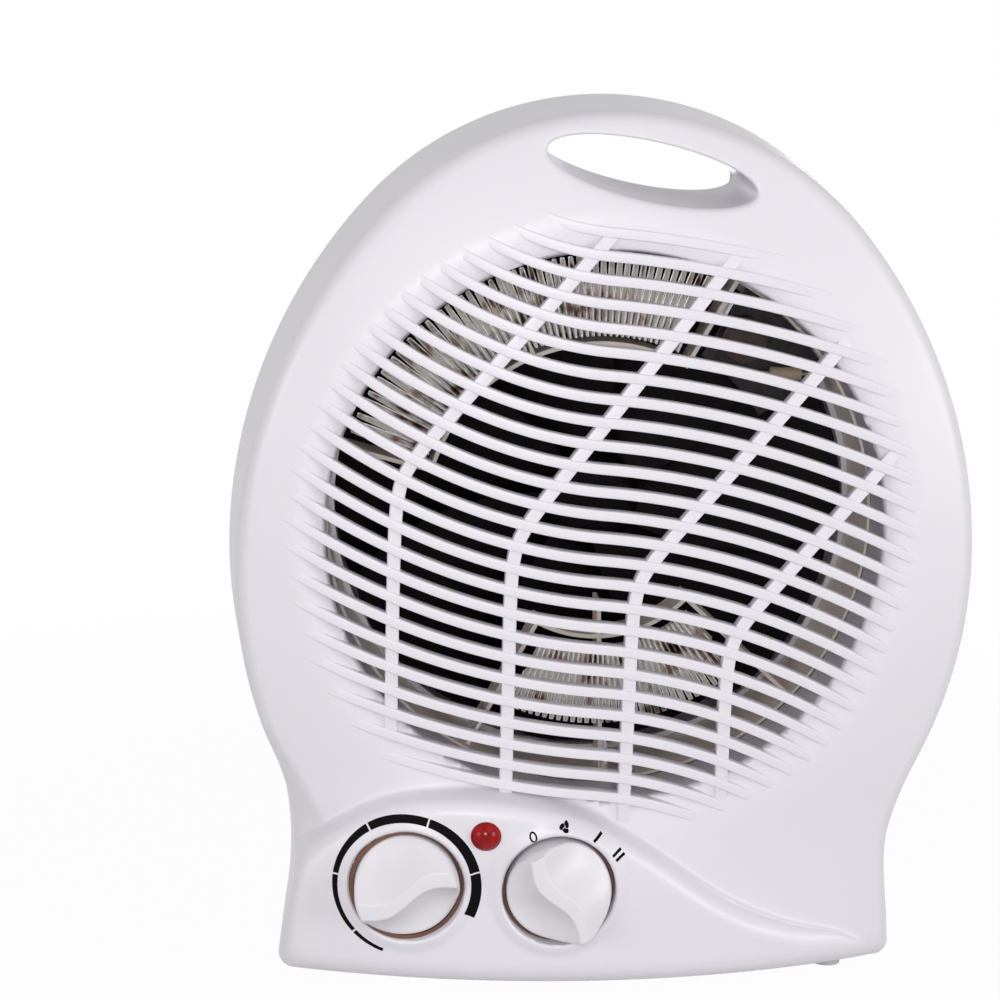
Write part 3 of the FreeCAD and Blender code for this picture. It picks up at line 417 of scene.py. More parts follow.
class Skin:
    # points and faces that grow ring by ring
    def __init__(self, points=(), faces=(), places=None):
        self.points = [tuple(point) for point in points]
        self.faces = [tuple(one) for one in faces]
        self.places = places

    def placed(self, numbers):
        return [self.places[one] for one in numbers]

    def at(self, ring):
        return np.array([self.points[one] for one in ring])

    def add(self, points):
        self.points += [tuple(point) for point in points]
        return list(range(len(self.points) - len(points), len(self.points)))

    def grow(self, ring, loops):
        # quads from a ring to each further loop in turn, and the last ring's numbers
        for loop in loops:
            following = self.add(loop)
            self.faces += strip(ring, following)
            ring = following
        return ring

    def fan(self, ring, tip):
        # triangles from a ring to one closing point
        last = self.add([tip])[0]
        self.faces += [(a, b, last) for a, b in zip(ring, ring[1:] + ring[:1])]


def strip(first, second):
    # quads between two closed rings of point numbers
    around = zip(first, first[1:] + first[:1], second, second[1:] + second[:1])
    return [(a, b, d, c) for a, b, c, d in around]


def insidePolygon(x, z, polygon):
    result = np.zeros(x.shape, bool)
    for (x1, z1), (x2, z2) in zip(polygon, np.roll(polygon, -1, axis=0)):
        crosses = (z1 > z) != (z2 > z)
        if z1 != z2:
            result ^= crosses & (x < (x2 - x1) * (z - z1) / (z2 - z1) + x1)
    return result


def turns(count):
    return np.linspace(0, fullTurn, count, endpoint=False)


def circle(centreX, centreZ, radius, count):
    turn = turns(count)
    return np.column_stack([centreX + radius * np.cos(turn), centreZ + radius * np.sin(turn)])


def polar(centre, radius, degrees):
    turn = np.radians(degrees)
    return np.column_stack([centre[0] + radius * np.cos(turn), centre[1] + radius * np.sin(turn)])


def lifted(flat, y):
    # x and z points given their y
    return np.column_stack([flat[:, 0], np.broadcast_to(y, len(flat)), flat[:, 1]])


def smoothStep(value):
    value = np.clip(value, 0, 1)
    return value * value * (3 - 2 * value)


def softened(value, blend):
    # value where it is well above zero, 0 where it is well below, and a soft bend between
    return 0.5 * (value + np.sqrt(value ** 2 + blend ** 2))


def roundOff(share):
    # a quarter circle's drop, from 0 at share 0 to 1 at share 1
    return 1 - np.sqrt(1 - np.clip(share, 0, 1) ** 2)


# Front casing: dome, funnel, control panel, handle and the slatted grille in one moulding

casing = {
    "height": 255.0, "halfWidth": 109.0, "widestZ": 121.0, "topRadius": 94.0,
    "shoulderRadius": 140.0, "neckHalfWidth": 88.8, "neckZ": 24.0, "floorZ": 3.0, "cornerRadius": 4.0,
    "draft": 0.079, "flare": 1.3, "flareHigh": 46.0, "flareLow": 12.0,
    "rimRadius": 4.0, "bottomRadius": 7.0, "bottomHigh": 30.0, "bottomBlend": 24.0, "wall": 2.0,
    "domeReach": 60.0, "domeRadius": 375.0, "domeZ": 135.0, "uprightZ": 45.0, "uprightBlend": 16.0,
    "spacing": 1.7, "arcCounts": (34, 52, 44, 80, 10, 56), "sideRings": 6, "edgeAngles": range(0, 91, 15),
}
funnel = {"boreRadius": 79.0, "boreY": -47.5, "tipRadius": 89.5, "tipSpread": 0.2, "spreadZ": 105.0,
          "ease": 1.4, "boreBackY": -31.6, "count": 260, "drawnAt": (0.12, 0.3, 0.5, 0.75, 1.0, 1.15),
          "drawnCount": 241}
facet = {"top": (-91.6, 69.2), "foot": (-76.7, 42.5), "slope": 0.75, "most": 8.0, "soft": 0.8,
         "fadeFrom": 60.0, "fadeTo": 76.0}
panel = {"reach": 61.0, "curve": 260.0, "centreX": -18.0, "edge": 5.0, "foot": 1.6, "wallRun": 0.6,
         "bezelHeight": 1.1, "bezelRise": 0.8, "bezelWidth": 3.6, "holeRadius": 16.3, "holeBackY": -51.0,
         "holeCount": 110, "lensRadius": 4.35, "lensBackY": -50.0, "lensCount": 48,
         "line": [(-104, -8), (-97, 18), (-87, 36), (-75.6, 47.4), (-58, 56.6), (-34, 58.6), (-8, 54),
                  (12, 44), (38, 26.4), (58, 17.5), (75, 13), (84, 6), (87.5, -8)],
         "drawnIn": (5.6, 5.0, 3.9, 2.9, 2.0, 1.25, 0.65, 0.25, 0.0),
         "drawnOut": (0.3, 0.6, 0.8, 1.2, 1.7, 2.2), "holeRings": (0.4, 0.8, 1.5, 2.3, 3.2, 4.1, 5.0)}
handle = {"x": 7.0, "z": 236.0, "halfLength": 29.6, "halfWidth": 7.9, "tilt": -10.4, "backHalfWidth": 7.6,
          "backRise": 1.2, "backY": -0.2, "lipLow": 2.2, "lipHigh": 1.0, "slotHalfWidth": 11.5,
          "count": 132}
hair = 0.02         # slack for points that lie on a drawn loop
clearOfLines = 0.35
fanX, _, fanZ = middle("motor_shaft")
knobX = {"thermostat": middle("thermostat_spindle").x, "selector": middle("selector_spindle").x}
knobZ = middle("thermostat_spindle").z
lensX, _, lensZ = middle("indicator_lens")


def arcRing():
    # which tangent arc each point of the outline is on, and how far along it, alike left and right
    counts = np.array(casing["arcCounts"])
    starts = np.concatenate([[0], np.cumsum(counts)])
    number = np.arange(2 * starts[-1])
    half = np.minimum(number, len(number) - number)
    piece = np.minimum(np.searchsorted(starts, half, "right") - 1, len(counts) - 1)
    side = np.where(number <= starts[-1], 1, -1)
    return piece, (half - starts[piece]) / counts[piece], side


def outline(inset, lift):
    # the casing's outline from the top, clockwise seen from the front, drawn in by inset at its sides
    # and raised by lift at its bottom; both may differ from point to point
    c = casing
    piece, along, side = arcRing()
    inset = np.broadcast_to(inset, piece.shape)
    lift = np.broadcast_to(lift, piece.shape)
    rise = c["height"] - c["widestZ"] - c["topRadius"]
    squares = c["halfWidth"] ** 2 + rise ** 2 - c["topRadius"] ** 2
    sideRadius = squares / (2 * (c["halfWidth"] - c["topRadius"]))
    sideX = c["halfWidth"] - sideRadius
    sideTurn = math.atan2(rise, -sideX)
    drop = c["widestZ"] - c["neckZ"]
    swing = 2 * math.atan2(c["halfWidth"] - c["neckHalfWidth"], drop)
    neckRadius = drop / math.sin(swing) - c["shoulderRadius"]
    neckX = c["neckHalfWidth"] + neckRadius
    cornerZ = c["floorZ"] + lift + c["cornerRadius"]
    fall = c["neckZ"] - cornerZ
    cornerX = neckX - np.sqrt((neckRadius + inset + c["cornerRadius"]) ** 2 - fall ** 2)
    cornerTurn = np.arctan2(fall, neckX - cornerX)
    centreX = np.choose(piece, [0, sideX, c["halfWidth"] - c["shoulderRadius"], neckX, cornerX, 0])
    centreZ = np.choose(piece, [c["height"] - c["topRadius"], c["widestZ"], c["widestZ"], c["neckZ"],
                                cornerZ, 0])
    radius = np.choose(piece, [c["topRadius"] - inset, sideRadius - inset, c["shoulderRadius"] - inset,
                               neckRadius + inset, c["cornerRadius"], 0])
    start = np.choose(piece, [math.pi / 2, sideTurn, 0, math.pi - swing, cornerTurn, 0])
    end = np.choose(piece, [sideTurn, 0, -swing, math.pi + cornerTurn, -math.pi / 2, 0])
    turn = start + (end - start) * along
    flat = piece == len(c["arcCounts"]) - 1
    x = np.where(flat, cornerX * (1 - along), centreX + radius * np.cos(turn))
    z = np.where(flat, c["floorZ"] + lift, centreZ + radius * np.sin(turn))
    return np.column_stack([side * x, z])


def smoothLine(knots, count):
    # a Catmull-Rom curve through the knots
    knots = np.asarray(knots, float)
    padded = np.vstack([2 * knots[0] - knots[1], knots, 2 * knots[-1] - knots[-2]])
    points = []
    for a, b, c, d in zip(padded, padded[1:], padded[2:], padded[3:]):
        for t in np.linspace(0, 1, count, endpoint=False):
            points.append(0.5 * (2 * b + (c - a) * t + (2 * a - 5 * b + 4 * c - d) * t ** 2
                                 + (3 * b - a - 3 * c + d) * t ** 3))
    return np.array(points + [knots[-1]])


def offsetLine(line, distance):
    # drawn to the right of its run, which for the panel's line is inward
    run = np.gradient(line, axis=0)
    run /= np.linalg.norm(run, axis=1)[:, None]
    return line + distance * np.column_stack([run[:, 1], -run[:, 0]])


def distanceToLine(x, z, line):
    # unsigned distance from each point to a drawn line
    point = np.column_stack([np.ravel(x), np.ravel(z)])
    best = np.full(len(point), np.inf)
    for a, b in zip(line, line[1:]):
        run = b - a
        t = np.clip(((point - a) @ run) / (run @ run), 0, 1)
        best = np.minimum(best, np.linalg.norm(point - a - t[:, None] * run, axis=1))
    return best.reshape(np.shape(x))


panelEdge = smoothLine(panel["line"], 14)
panelArea = np.vstack([panelEdge, [(140, -60), (-140, -60)]])


def panelDepth(x, z):
    # distance inside the panel's edge, negative outside
    return distanceToLine(x, z, panelEdge) * np.where(insidePolygon(x, z, panelArea), 1, -1)


def panelY(x):
    return -panel["reach"] + panel["curve"] - np.sqrt(panel["curve"] ** 2 - (x - panel["centreX"]) ** 2)


def domeY(x, z):
    # the ball of the face, carrying on upright below its foot
    c = casing
    gap = z - c["uprightZ"]
    upright = np.where(gap > 6 * c["uprightBlend"], z, c["uprightZ"] + softened(gap, c["uprightBlend"]))
    return (c["domeRadius"] - c["domeReach"]
            - np.sqrt(c["domeRadius"] ** 2 - x ** 2 - (upright - c["domeZ"]) ** 2))


def tipRadius(z):
    return funnel["tipRadius"] + funnel["tipSpread"] * np.maximum(0, funnel["spreadZ"] - z)


def faceY(x, z):
    # dome with the flared mouth of the grille sunk into it, tangent to the dome where it starts
    y = domeY(x, z)
    fromFan = np.hypot(x - fanX, z - fanZ)
    tip = tipRadius(z)
    sink = np.clip((tip - fromFan) / (tip - funnel["boreRadius"]), 0, 1) ** funnel["ease"]
    return y + (funnel["boreY"] - y) * sink


def facetPush(x, z):
    # how far the flat facet over the panel's left end is set back, outside its crease
    f = facet
    top, foot = np.array(f["top"]), np.array(f["foot"])
    run = (foot - top) / np.linalg.norm(foot - top)
    outside = softened((x - top[0]) * run[1] - (z - top[1]) * run[0], f["soft"]) - 0.5 * f["soft"]
    push = f["most"] * np.tanh(f["slope"] * np.maximum(outside, 0) / f["most"])
    return push * (1 - smoothStep((z - f["fadeFrom"]) / (f["fadeTo"] - f["fadeFrom"])))


def bezelRise(x, z):
    # the soft raised rim round each knob's hole
    near = panel["bezelRise"]
    rise = np.zeros(np.shape(x))
    for centre in knobX.values():
        out = np.hypot(x - centre, z - knobZ) - panel["holeRadius"]
        ring = np.where(out < near, 0.5 + 0.5 * np.clip(out / near, 0, 1),
                        1 - smoothStep((out - near) / panel["bezelWidth"]))
        rise += panel["bezelHeight"] * ring * (out > -1)
    return rise


def casingY(x, z):
    # the whole front: the panel stands proud with a rounded edge and a small fillet at its foot
    base = faceY(x, z) + facetPush(x, z)
    top = panelY(x) - bezelRise(x, z)
    inward = panelDepth(x, z)
    proud = np.maximum(base - panelY(x), 0)
    edge, foot, run = panel["edge"], panel["foot"], panel["wallRun"]
    scale = np.minimum(1, proud / (edge + foot))
    onTop = top + scale * edge * roundOff(1 - inward / edge)
    onFoot = base - scale * foot * roundOff(1 + (inward + run) / foot)
    wallTop = top + scale * edge
    wallFoot = base - scale * foot
    onWall = wallTop + (wallFoot - wallTop) * np.clip(-inward / run, 0, 1)
    y = np.where(inward >= 0, onTop, np.where(inward > -run, onWall, onFoot))
    return np.where(proud > 0, y, base)


def handleLoop(halfWidth, roundness, grow, rise=0.0):
    # the handle's slot: an ellipse at roundness 0, a slot with round ends at 1, grown by grow
    h = handle
    turn = turns(h["count"])
    reach = h["halfLength"] - halfWidth
    squared = np.sign(np.cos(turn)) * np.abs(np.cos(turn)) ** 0.8
    slot = np.column_stack([np.clip(squared * 1.6, -1, 1) * reach + halfWidth * np.cos(turn),
                            halfWidth * np.sin(turn)])
    ellipse = np.column_stack([h["halfLength"] * np.cos(turn), halfWidth * np.sin(turn)])
    loop = ellipse + (slot - ellipse) * roundness
    run = np.roll(loop, -1, axis=0) - np.roll(loop, 1, axis=0)
    run /= np.linalg.norm(run, axis=1)[:, None]
    loop = loop + np.reshape(grow, (-1, 1)) * np.column_stack([run[:, 1], -run[:, 0]])
    loop[:, 1] += rise
    tilt = math.radians(h["tilt"])
    tilted = loop @ np.array([[math.cos(tilt), math.sin(tilt)], [-math.sin(tilt), math.cos(tilt)]])
    return tilted + (h["x"], h["z"])


def casingSkin():
    c, f, p, h = casing, funnel, panel, handle
    quarter = np.radians(c["edgeAngles"])
    lip = h["lipHigh"] + (h["lipLow"] - h["lipHigh"]) * (0.5 - 0.5 * np.sin(turns(h["count"])))
    lipLoop = handleLoop(h["halfWidth"], 0, lip)

    # the wall line, where the draughted side takes over from the rounded rim
    height = outline(0, 0)[:, 1]
    bottomness = smoothStep((c["bottomHigh"] - height) / c["bottomBlend"])
    depth = c["rimRadius"] + (c["bottomRadius"] - c["rimRadius"]) * bottomness
    low = smoothStep((c["flareHigh"] - height) / (c["flareHigh"] - c["flareLow"]))
    drawnIn = np.full(len(depth), 4.0)
    for _ in range(4):
        x, z = outline(drawnIn + depth, c["bottomRadius"]).T
        drawnIn = c["draft"] * -(casingY(x, z) + depth) * (1 - low) - c["flare"] * low
    toLip = np.array([np.linalg.norm(lipLoop - point, axis=1).min() for point in outline(drawnIn, 0)])
    rim = np.clip(toLip - 0.5, 1.0, c["rimRadius"])
    depth = np.minimum(depth, np.where(rim < c["rimRadius"], rim, depth))

    def rimRing(angle):
        narrow = 1 - math.sin(angle)
        flat = outline(drawnIn + rim * narrow, c["bottomRadius"] * narrow)
        return lifted(flat, casingY(*flat.T) + depth * (1 - math.cos(angle)))

    inner = rimRing(quarter[0])[:, (0, 2)]
    area = Area()
    loops = {"rim": area.addLoop(inner), "handle": area.addLoop(lipLoop),
             "bore": area.addLoop(circle(fanX, fanZ, f["boreRadius"], f["count"])),
             "lens": area.addLoop(circle(lensX, lensZ, p["lensRadius"], p["lensCount"]))}
    for name, centre in knobX.items():
        loops[name] = area.addLoop(circle(centre, knobZ, p["holeRadius"], p["holeCount"]))
        for out in p["holeRings"]:
            area.addLoop(circle(centre, knobZ, p["holeRadius"] + out, p["holeCount"]))

    def inside(x, z, margin=0.0):
        kept = insidePolygon(x, z, inner) & ~insidePolygon(x, z, lipLoop)
        kept &= np.hypot(x - fanX, z - fanZ) > f["boreRadius"] - hair
        kept &= np.hypot(x - lensX, z - lensZ) > p["lensRadius"] - hair
        for centre in knobX.values():
            kept &= np.hypot(x - centre, z - knobZ) > p["holeRadius"] - hair
        if margin:
            kept &= distanceToLine(x, z, np.vstack([inner, inner[:1]])) > margin
            kept &= np.hypot(x - fanX, z - fanZ) > f["boreRadius"] + margin
        return kept

    for distance in (*p["drawnIn"], *(-out for out in p["drawnOut"])):
        line = offsetLine(panelEdge, distance)
        area.addLine(line, inside(*line.T, clearOfLines))
    turn = np.linspace(0, fullTurn, f["drawnCount"])
    for share in f["drawnAt"]:
        radius = f["boreRadius"] + share * (tipRadius(fanZ + 90 * np.sin(turn)) - f["boreRadius"])
        ring = np.column_stack([fanX + radius * np.cos(turn), fanZ + radius * np.sin(turn)])
        offPanel = panelDepth(*ring.T) < -p["drawnOut"][-1] - 0.4
        area.addLine(ring, inside(*ring.T, clearOfLines) & offPanel)
    area.fill(c["spacing"], lambda x, z: inside(x, z, 0.5))
    skin = area.skin(inside, casingY)

    # rings carry on from the triangulated area: rim, draughted side, and the walls of the holes
    ring = skin.grow(skin.placed(loops["rim"]), [rimRing(angle) for angle in quarter[1:]])
    wallY = skin.at(ring)[:, 1]
    shares = np.linspace(0, 1, c["sideRings"] + 1)[1:]
    skin.grow(ring, [lifted(outline(drawnIn * (1 - share), 0), wallY * (1 - share)) for share in shares])

    def lipRing(angle):
        flat = handleLoop(h["halfWidth"], 0, lip * (1 - math.sin(angle)))
        return lifted(flat, casingY(*flat.T) + lip * (1 - math.cos(angle)))

    def gripRing(share):
        width = h["halfWidth"] + (h["backHalfWidth"] - h["halfWidth"]) * share
        y = (lipY - h["backY"]) * (1 - share) + h["backY"]
        return lifted(handleLoop(width, 0, 0, h["backRise"] * share), y)

    ring = skin.grow(skin.placed(loops["handle"]), [lipRing(angle) for angle in quarter[1:]])
    lipY = skin.at(ring)[:, 1]
    slot = lifted(handleLoop(h["slotHalfWidth"], 1, 0), h["backY"])
    skin.grow(ring, [*(gripRing(share) for share in shares), slot])

    backs = {"bore": f["boreBackY"], "lens": p["lensBackY"],
             "thermostat": p["holeBackY"], "selector": p["holeBackY"]}
    for name, backY in backs.items():
        ring = skin.placed(loops[name])
        skin.grow(ring, [movedBack(skin.at(ring), share, backY) for share in (0.5, 1.0)])
    return skin


def movedBack(ring, share, backY):
    # a ring moved that share of its way to backY
    moved = ring.copy()
    moved[:, 1] += share * (backY - moved[:, 1])
    return moved


# Geometry Nodes: a tree has named sizes in millimetres and is run once for each set of them.

def geometryTree(name, sizes):
    tree = bpy.data.node_groups.new(name, "GeometryNodeTree")
    tree.interface.new_socket("Geometry", in_out="OUTPUT", socket_type="NodeSocketGeometry")
    for label, value in sizes.items():
        kind = "NodeSocketInt" if isinstance(value, int) else "NodeSocketFloat"
        tree.interface.new_socket(label, in_out="INPUT", socket_type=kind)
    reader = tree.nodes.new("NodeGroupInput")
    return tree, Flow(tree), {label: Flow(tree, reader.outputs[label]) for label in sizes}


def endTree(tree, flow, shape, material):
    whole = flow.add("GeometryNodeRealizeInstances", {}, {"Geometry": shape})
    finished = flow.add("GeometryNodeSetMaterial", {}, {"Geometry": whole, "Material": material})
    end = tree.nodes.new("NodeGroupOutput")
    tree.links.new(finished.socket, end.inputs["Geometry"])
    return tree


def grown(tree, sizes):
    # the tree's shape at these sizes, as a plain mesh in the frame
    holder = bpy.data.objects.new(tree.name, bpy.data.meshes.new(tree.name))
    bpy.context.scene.collection.objects.link(holder)
    modifier = holder.modifiers.new(tree.name, "NODES")
    modifier.node_group = tree
    for item in tree.interface.items_tree:
        if item.in_out == "INPUT" and item.name in sizes:
            modifier[item.identifier] = sizes[item.name]
    mesh = evaluatedMesh(holder)
    holder.modifiers.remove(modifier)
    bpy.data.objects.remove(holder)
    mesh.transform(Matrix.Scale(0.001, 4) @ Matrix.Translation((0, partingY, 0)))
    return mesh


def combined(name, meshes):
    whole = bmesh.new()
    for mesh in meshes:
        whole.from_mesh(mesh)
    result = bpy.data.meshes.new(name)
    whole.to_mesh(result)
    whole.free()
    return result


def between(given, first, second, share):
    return given[first] + (given[second] - given[first]) * share


def pointAt(flow, x, y, z):
    return flow.add("ShaderNodeCombineXYZ", {}, {"X": x, "Y": y, "Z": z})


def laidAt(flow, shape, x, y, z):
    return flow.add("GeometryNodeSetPosition", {}, {"Geometry": shape, "Position": pointAt(flow, x, y, z)})


def quad(flow, width, height):
    return flow.add("GeometryNodeCurvePrimitiveQuadrilateral", {}, {"Width": width, "Height": height})


def swept(flow, path, normal, section):
    upright = flow.add("GeometryNodeSetCurveNormal", {"mode": "FREE"}, {"Curve": path, "Normal": normal})
    return flow.add("GeometryNodeCurveToMesh", {}, {"Curve": upright, "Profile Curve": section,
                                                    "Fill Caps": True})


def evenPaths(flow, count, samples):
    # count straight paths of the same points, and the numbers of each point's path and place on it
    places = flow.add("GeometryNodeMeshLine", {}, {"Count": count, "Offset": (0, 0, 0)})
    line = flow.add("GeometryNodeCurvePrimitiveLine", {}, {"End": (1, 0, 0)})
    line = flow.add("GeometryNodeResampleCurve", {}, {"Curve": line, "Count": samples})
    paths = flow.add("GeometryNodeInstanceOnPoints", {}, {"Points": places, "Instance": line})
    paths = flow.add("GeometryNodeRealizeInstances", {}, {"Geometry": paths})
    number = flow.add("GeometryNodeInputIndex")
    path = flow.maths("FLOOR", (number + 0.5) / samples)
    return paths, path, (number - path * samples) / (samples - 1.0)


def mouthBars(flow, given, x, z, paths):
    # lays the paths on the dome, cuts them off just inside the mouth's edge and gives them their section
    dome = (given["Dome radius"] ** 2.0 - x ** 2.0 - (z - given["Dome z"]) ** 2.0) ** 0.5
    laid = laidAt(flow, paths, x, given["Dome radius"] - given["Dome reach"] - dome + given["Recess"], z)
    atX, atZ = flow.add("GeometryNodeInputPosition").parts("XZ")
    fromFan = ((atX - given["Fan x"]) ** 2.0 + (atZ - given["Fan z"]) ** 2.0) ** 0.5
    spread = flow.maths("MAXIMUM", given["Spread z"] - atZ, 0.0)
    limit = given["Tip radius"] + given["Tip spread"] * spread + given["Overrun"]
    beyond = flow.add("FunctionNodeCompare", {"data_type": "FLOAT", "operation": "GREATER_THAN"},
                      {"A": fromFan, "B": limit})
    cut = flow.add("GeometryNodeDeleteGeometry", {"domain": "POINT"},
                   {"Geometry": laid, "Selection": beyond})
    rounded = flow.add("GeometryNodeFilletCurve", {"mode": "POLY"}, {
        "Curve": quad(flow, given["Depth"], given["Width"]), "Radius": given["Edge"], "Count": 3})
    section = flow.add("GeometryNodeTransform", {}, {
        "Geometry": rounded, "Translation": pointAt(flow, given["Depth"] * -0.5, 0.0, 0.0)})
    return swept(flow, cut, (0, -1, 0), section)


atFan = {"Fan x": fanX, "Fan z": fanZ}
mouth = {"Dome radius": casing["domeRadius"], "Dome reach": casing["domeReach"], "Dome z": casing["domeZ"],
         "Tip radius": funnel["tipRadius"], "Tip spread": funnel["tipSpread"], "Spread z": funnel["spreadZ"],
         "Depth": 4.0, "Edge": 0.4, **atFan}
slats = {
    "Count": 26, "Samples": 132, "Pitch": 6.437, "Top z": 219.3, "Centre x": -3.4, "Slope": 0.0624,
    "Bend left": 0.0035, "Bend right": 0.0029, "Bend z": 136.0, "Bend fade": 130.0, "Reach": 99.0,
    "Width": 2.9, "Recess": 0.05, "Overrun": 1.2, **mouth,
}
ribs = {
    "Samples": 90, "Bend x": 0.0, "Bend z": 0.0, "Drift": 0.0, "Lean": 0.8, "Low z": 40.0, "High z": 228.0,
    "Blend": 7.0, "Width": 3.7, "Recess": 0.8, "Overrun": -1.5, **mouth,
}
ribBends = [(-62.3, 150.8, 0.018, 0.86), (-29.8, 134.0, 0.03, 0.76), (4.6, 124.0, 0.03, 0.87),
            (32.3, 107.0, 0.05, 0.88)]


def slatTree():
    tree, flow, given = geometryTree("grilleSlats", slats)
    paths, path, along = evenPaths(flow, given["Count"], given["Samples"])
    out = given["Reach"] * (2.0 * along - 1.0)
    middleZ = given["Top z"] - given["Pitch"] * path
    fade = (middleZ - given["Bend z"]) / given["Bend fade"]
    leftBend = given["Bend left"] * flow.maths("EXPONENT", fade)
    rightBend = given["Bend right"] * flow.maths("EXPONENT", 0.0 - fade)
    onLeft = flow.maths("LESS_THAN", out, 0.0)
    z = middleZ - given["Slope"] * out + (onLeft * leftBend - (1.0 - onLeft) * rightBend) * out ** 2.0
    bars = mouthBars(flow, given, given["Centre x"] + out, z, paths)
    return endTree(tree, flow, bars, made["whiteCasingPlastic"])


def ribTree():
    tree, flow, given = geometryTree("grilleRib", ribs)
    paths, _, along = evenPaths(flow, 1, given["Samples"])
    z = between(given, "Low z", "High z", along)
    gap = z - given["Bend z"]
    root = (gap ** 2.0 + given["Blend"] ** 2.0) ** 0.5
    x = given["Bend x"] + given["Lean"] * 0.5 * (gap + root) + given["Drift"] * 0.5 * (root - gap)
    bar = mouthBars(flow, given, x, z, paths)
    return endTree(tree, flow, bar, made["whiteCasingPlastic"])


def makeFrontCasing():
    skin = casingSkin()
    hollow = bpy.data.objects.new("casingSkin", plainMesh("casingSkin", skin.points, skin.faces))
    bpy.context.scene.collection.objects.link(hollow)
    thicken = hollow.modifiers.new("wall", "SOLIDIFY")
    thicken.thickness = casing["wall"] * 0.001
    thicken.offset = -1
    shell = evaluatedMesh(hollow)
    bpy.data.objects.remove(hollow)
    rib = ribTree()
    bars = [grown(slatTree(), slats)]
    for bendX, bendZ, drift, lean in ribBends:
        bars.append(grown(rib, {**ribs, "Bend x": bendX, "Bend z": bendZ, "Drift": drift, "Lean": lean}))
    mesh = combined("frontCasing", [shell] + bars)
    piece = finishPiece("frontCasing", mesh, made["whiteCasingPlastic"], smoothAngle=42)
    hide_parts("front_shell", "front_grille")
    print("front casing:", len(mesh.polygons), "faces;", slats["Count"], "slats and", len(ribBends), "ribs")


makeFrontCasing()

# Control knobs: a dished disc with an S-shaped ridge across it, one end reaching the rim

knobShape = {"radius": 15.0, "rimY": 0.4, "rimRound": 0.9, "backY": -51.0, "hubRadius": 6.0,
             "hubBackY": -48.4, "ridge": 8.8, "hollow": 0.9,
             "slope": 13.0, "slopeEase": 1.35, "scoop": 12.5, "scoopEase": 2.5,
             "shoulder": 0.7, "bend": 1.9, "bendReach": 13.6, "spacing": 0.62, "count": 160, "lineCount": 90,
             "fadeStart": -0.9, "fadeEnd": 1.5, "drawn": (-0.7, -0.35, -0.12, 0.0, 0.12, 0.35, 0.7, 1.2)}
knobs = {
    "thermostat": {"body": "thermostat_dial", "angle": 21.0, "startWidth": 2.9, "middleWidth": 2.1,
                   "endWidth": 2.5, "start": -15.6, "end": 14.7},
    "selector": {"body": "selector_dial", "angle": -59.0, "startWidth": 2.3, "middleWidth": 2.3,
                 "endWidth": 1.6, "start": -14.9, "end": 15.6},
}


def ridgeLine(u, form):
    # how far along the ridge u is, the ridge's half width there, and its middle's v
    share = np.clip((u - form["start"]) / (form["end"] - form["start"]), 0, 1)
    start, half, end = form["startWidth"], form["middleWidth"], form["endWidth"]
    width = np.where(share < 0.5, start + (half - start) * smoothStep(2 * share),
                     half + (end - half) * smoothStep(2 * share - 1))
    return share, width, knobShape["bend"] * np.sin(math.pi * np.clip(u / knobShape["bendReach"], -1, 1))


def knobHeight(u, v, form):
    # how far the knob stands proud at u along and v across its ridge
    s = knobShape
    share, width, bendV = ridgeLine(u, form)
    offMiddle = v - bendV
    beyond = np.abs(offMiddle) - width
    shoulder = np.clip((beyond + s["shoulder"]) / s["shoulder"], 0, 1)
    top = s["ridge"] - s["hollow"] * (share - 0.5) ** 2
    top = top - 0.5 * s["shoulder"] * (1 - np.sqrt(1 - 0.96 * shoulder ** 2))
    sloped = (1 - np.clip(beyond / s["slope"], 0, 1)) ** s["slopeEase"]
    scooped = (1 - np.clip(beyond / s["scoop"], 0, 1)) ** s["scoopEase"]
    overEnd = np.maximum(form["start"] - u, u - form["end"])
    fading = smoothStep((overEnd - s["fadeStart"]) / (s["fadeEnd"] - s["fadeStart"]))
    faded = (1 - fading) * np.where(overEnd > s["fadeEnd"], 0, 1)
    return top * np.where(offMiddle > 0, sloped, scooped) * faded


def makeKnob(name, form):
    s = knobShape
    centre = knobX[name]
    along = polar((0, 0), 1, [form["angle"]])[0]
    across = np.array([-along[1], along[0]])

    def frontY(x, z):
        offset = np.column_stack([x - centre, z - knobZ])
        u, v = offset @ along, offset @ across
        rim = s["rimRound"] * roundOff((np.hypot(u, v) - s["radius"] + s["rimRound"]) / s["rimRound"])
        return panelY(centre) + s["rimY"] - knobHeight(u, v, form) + rim

    def inside(x, z, margin=-0.01):
        return np.hypot(x - centre, z - knobZ) < s["radius"] - margin

    area = Area()
    rim = area.addLoop(circle(centre, knobZ, s["radius"], s["count"]))
    for inset in (0.12, 0.35, s["rimRound"]):
        area.addLoop(circle(centre, knobZ, s["radius"] - inset, s["count"]))
    u = np.linspace(form["start"] - s["fadeEnd"], form["end"] + s["fadeEnd"], s["lineCount"])
    _, width, bendV = ridgeLine(u, form)
    for side in (-1, 1):
        for out in s["drawn"]:
            line = np.outer(u, along) + np.outer(bendV + side * (width + out), across) + (centre, knobZ)
            area.addLine(line, inside(*line.T, s["rimRound"] + 0.25))
    area.fill(s["spacing"], lambda x, z: inside(x, z, s["rimRound"] + 0.3))
    skin = area.skin(inside, frontY)
    ring = skin.placed(rim)
    socket = circle(centre, knobZ, s["hubRadius"], s["count"])
    ring = skin.grow(ring, [movedBack(skin.at(ring), share, s["backY"]) for share in (0.35, 1.0)]
                     + [lifted(socket, y) for y in (s["backY"], s["hubBackY"])])
    skin.fan(ring, (centre, s["hubBackY"], knobZ))
    mesh = plainMesh(name, skin.points, skin.faces)
    piece = finishPiece(name + "Knob", mesh, made["whiteKnobPlastic"], form["body"], 55)
    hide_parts(name + "_knob")


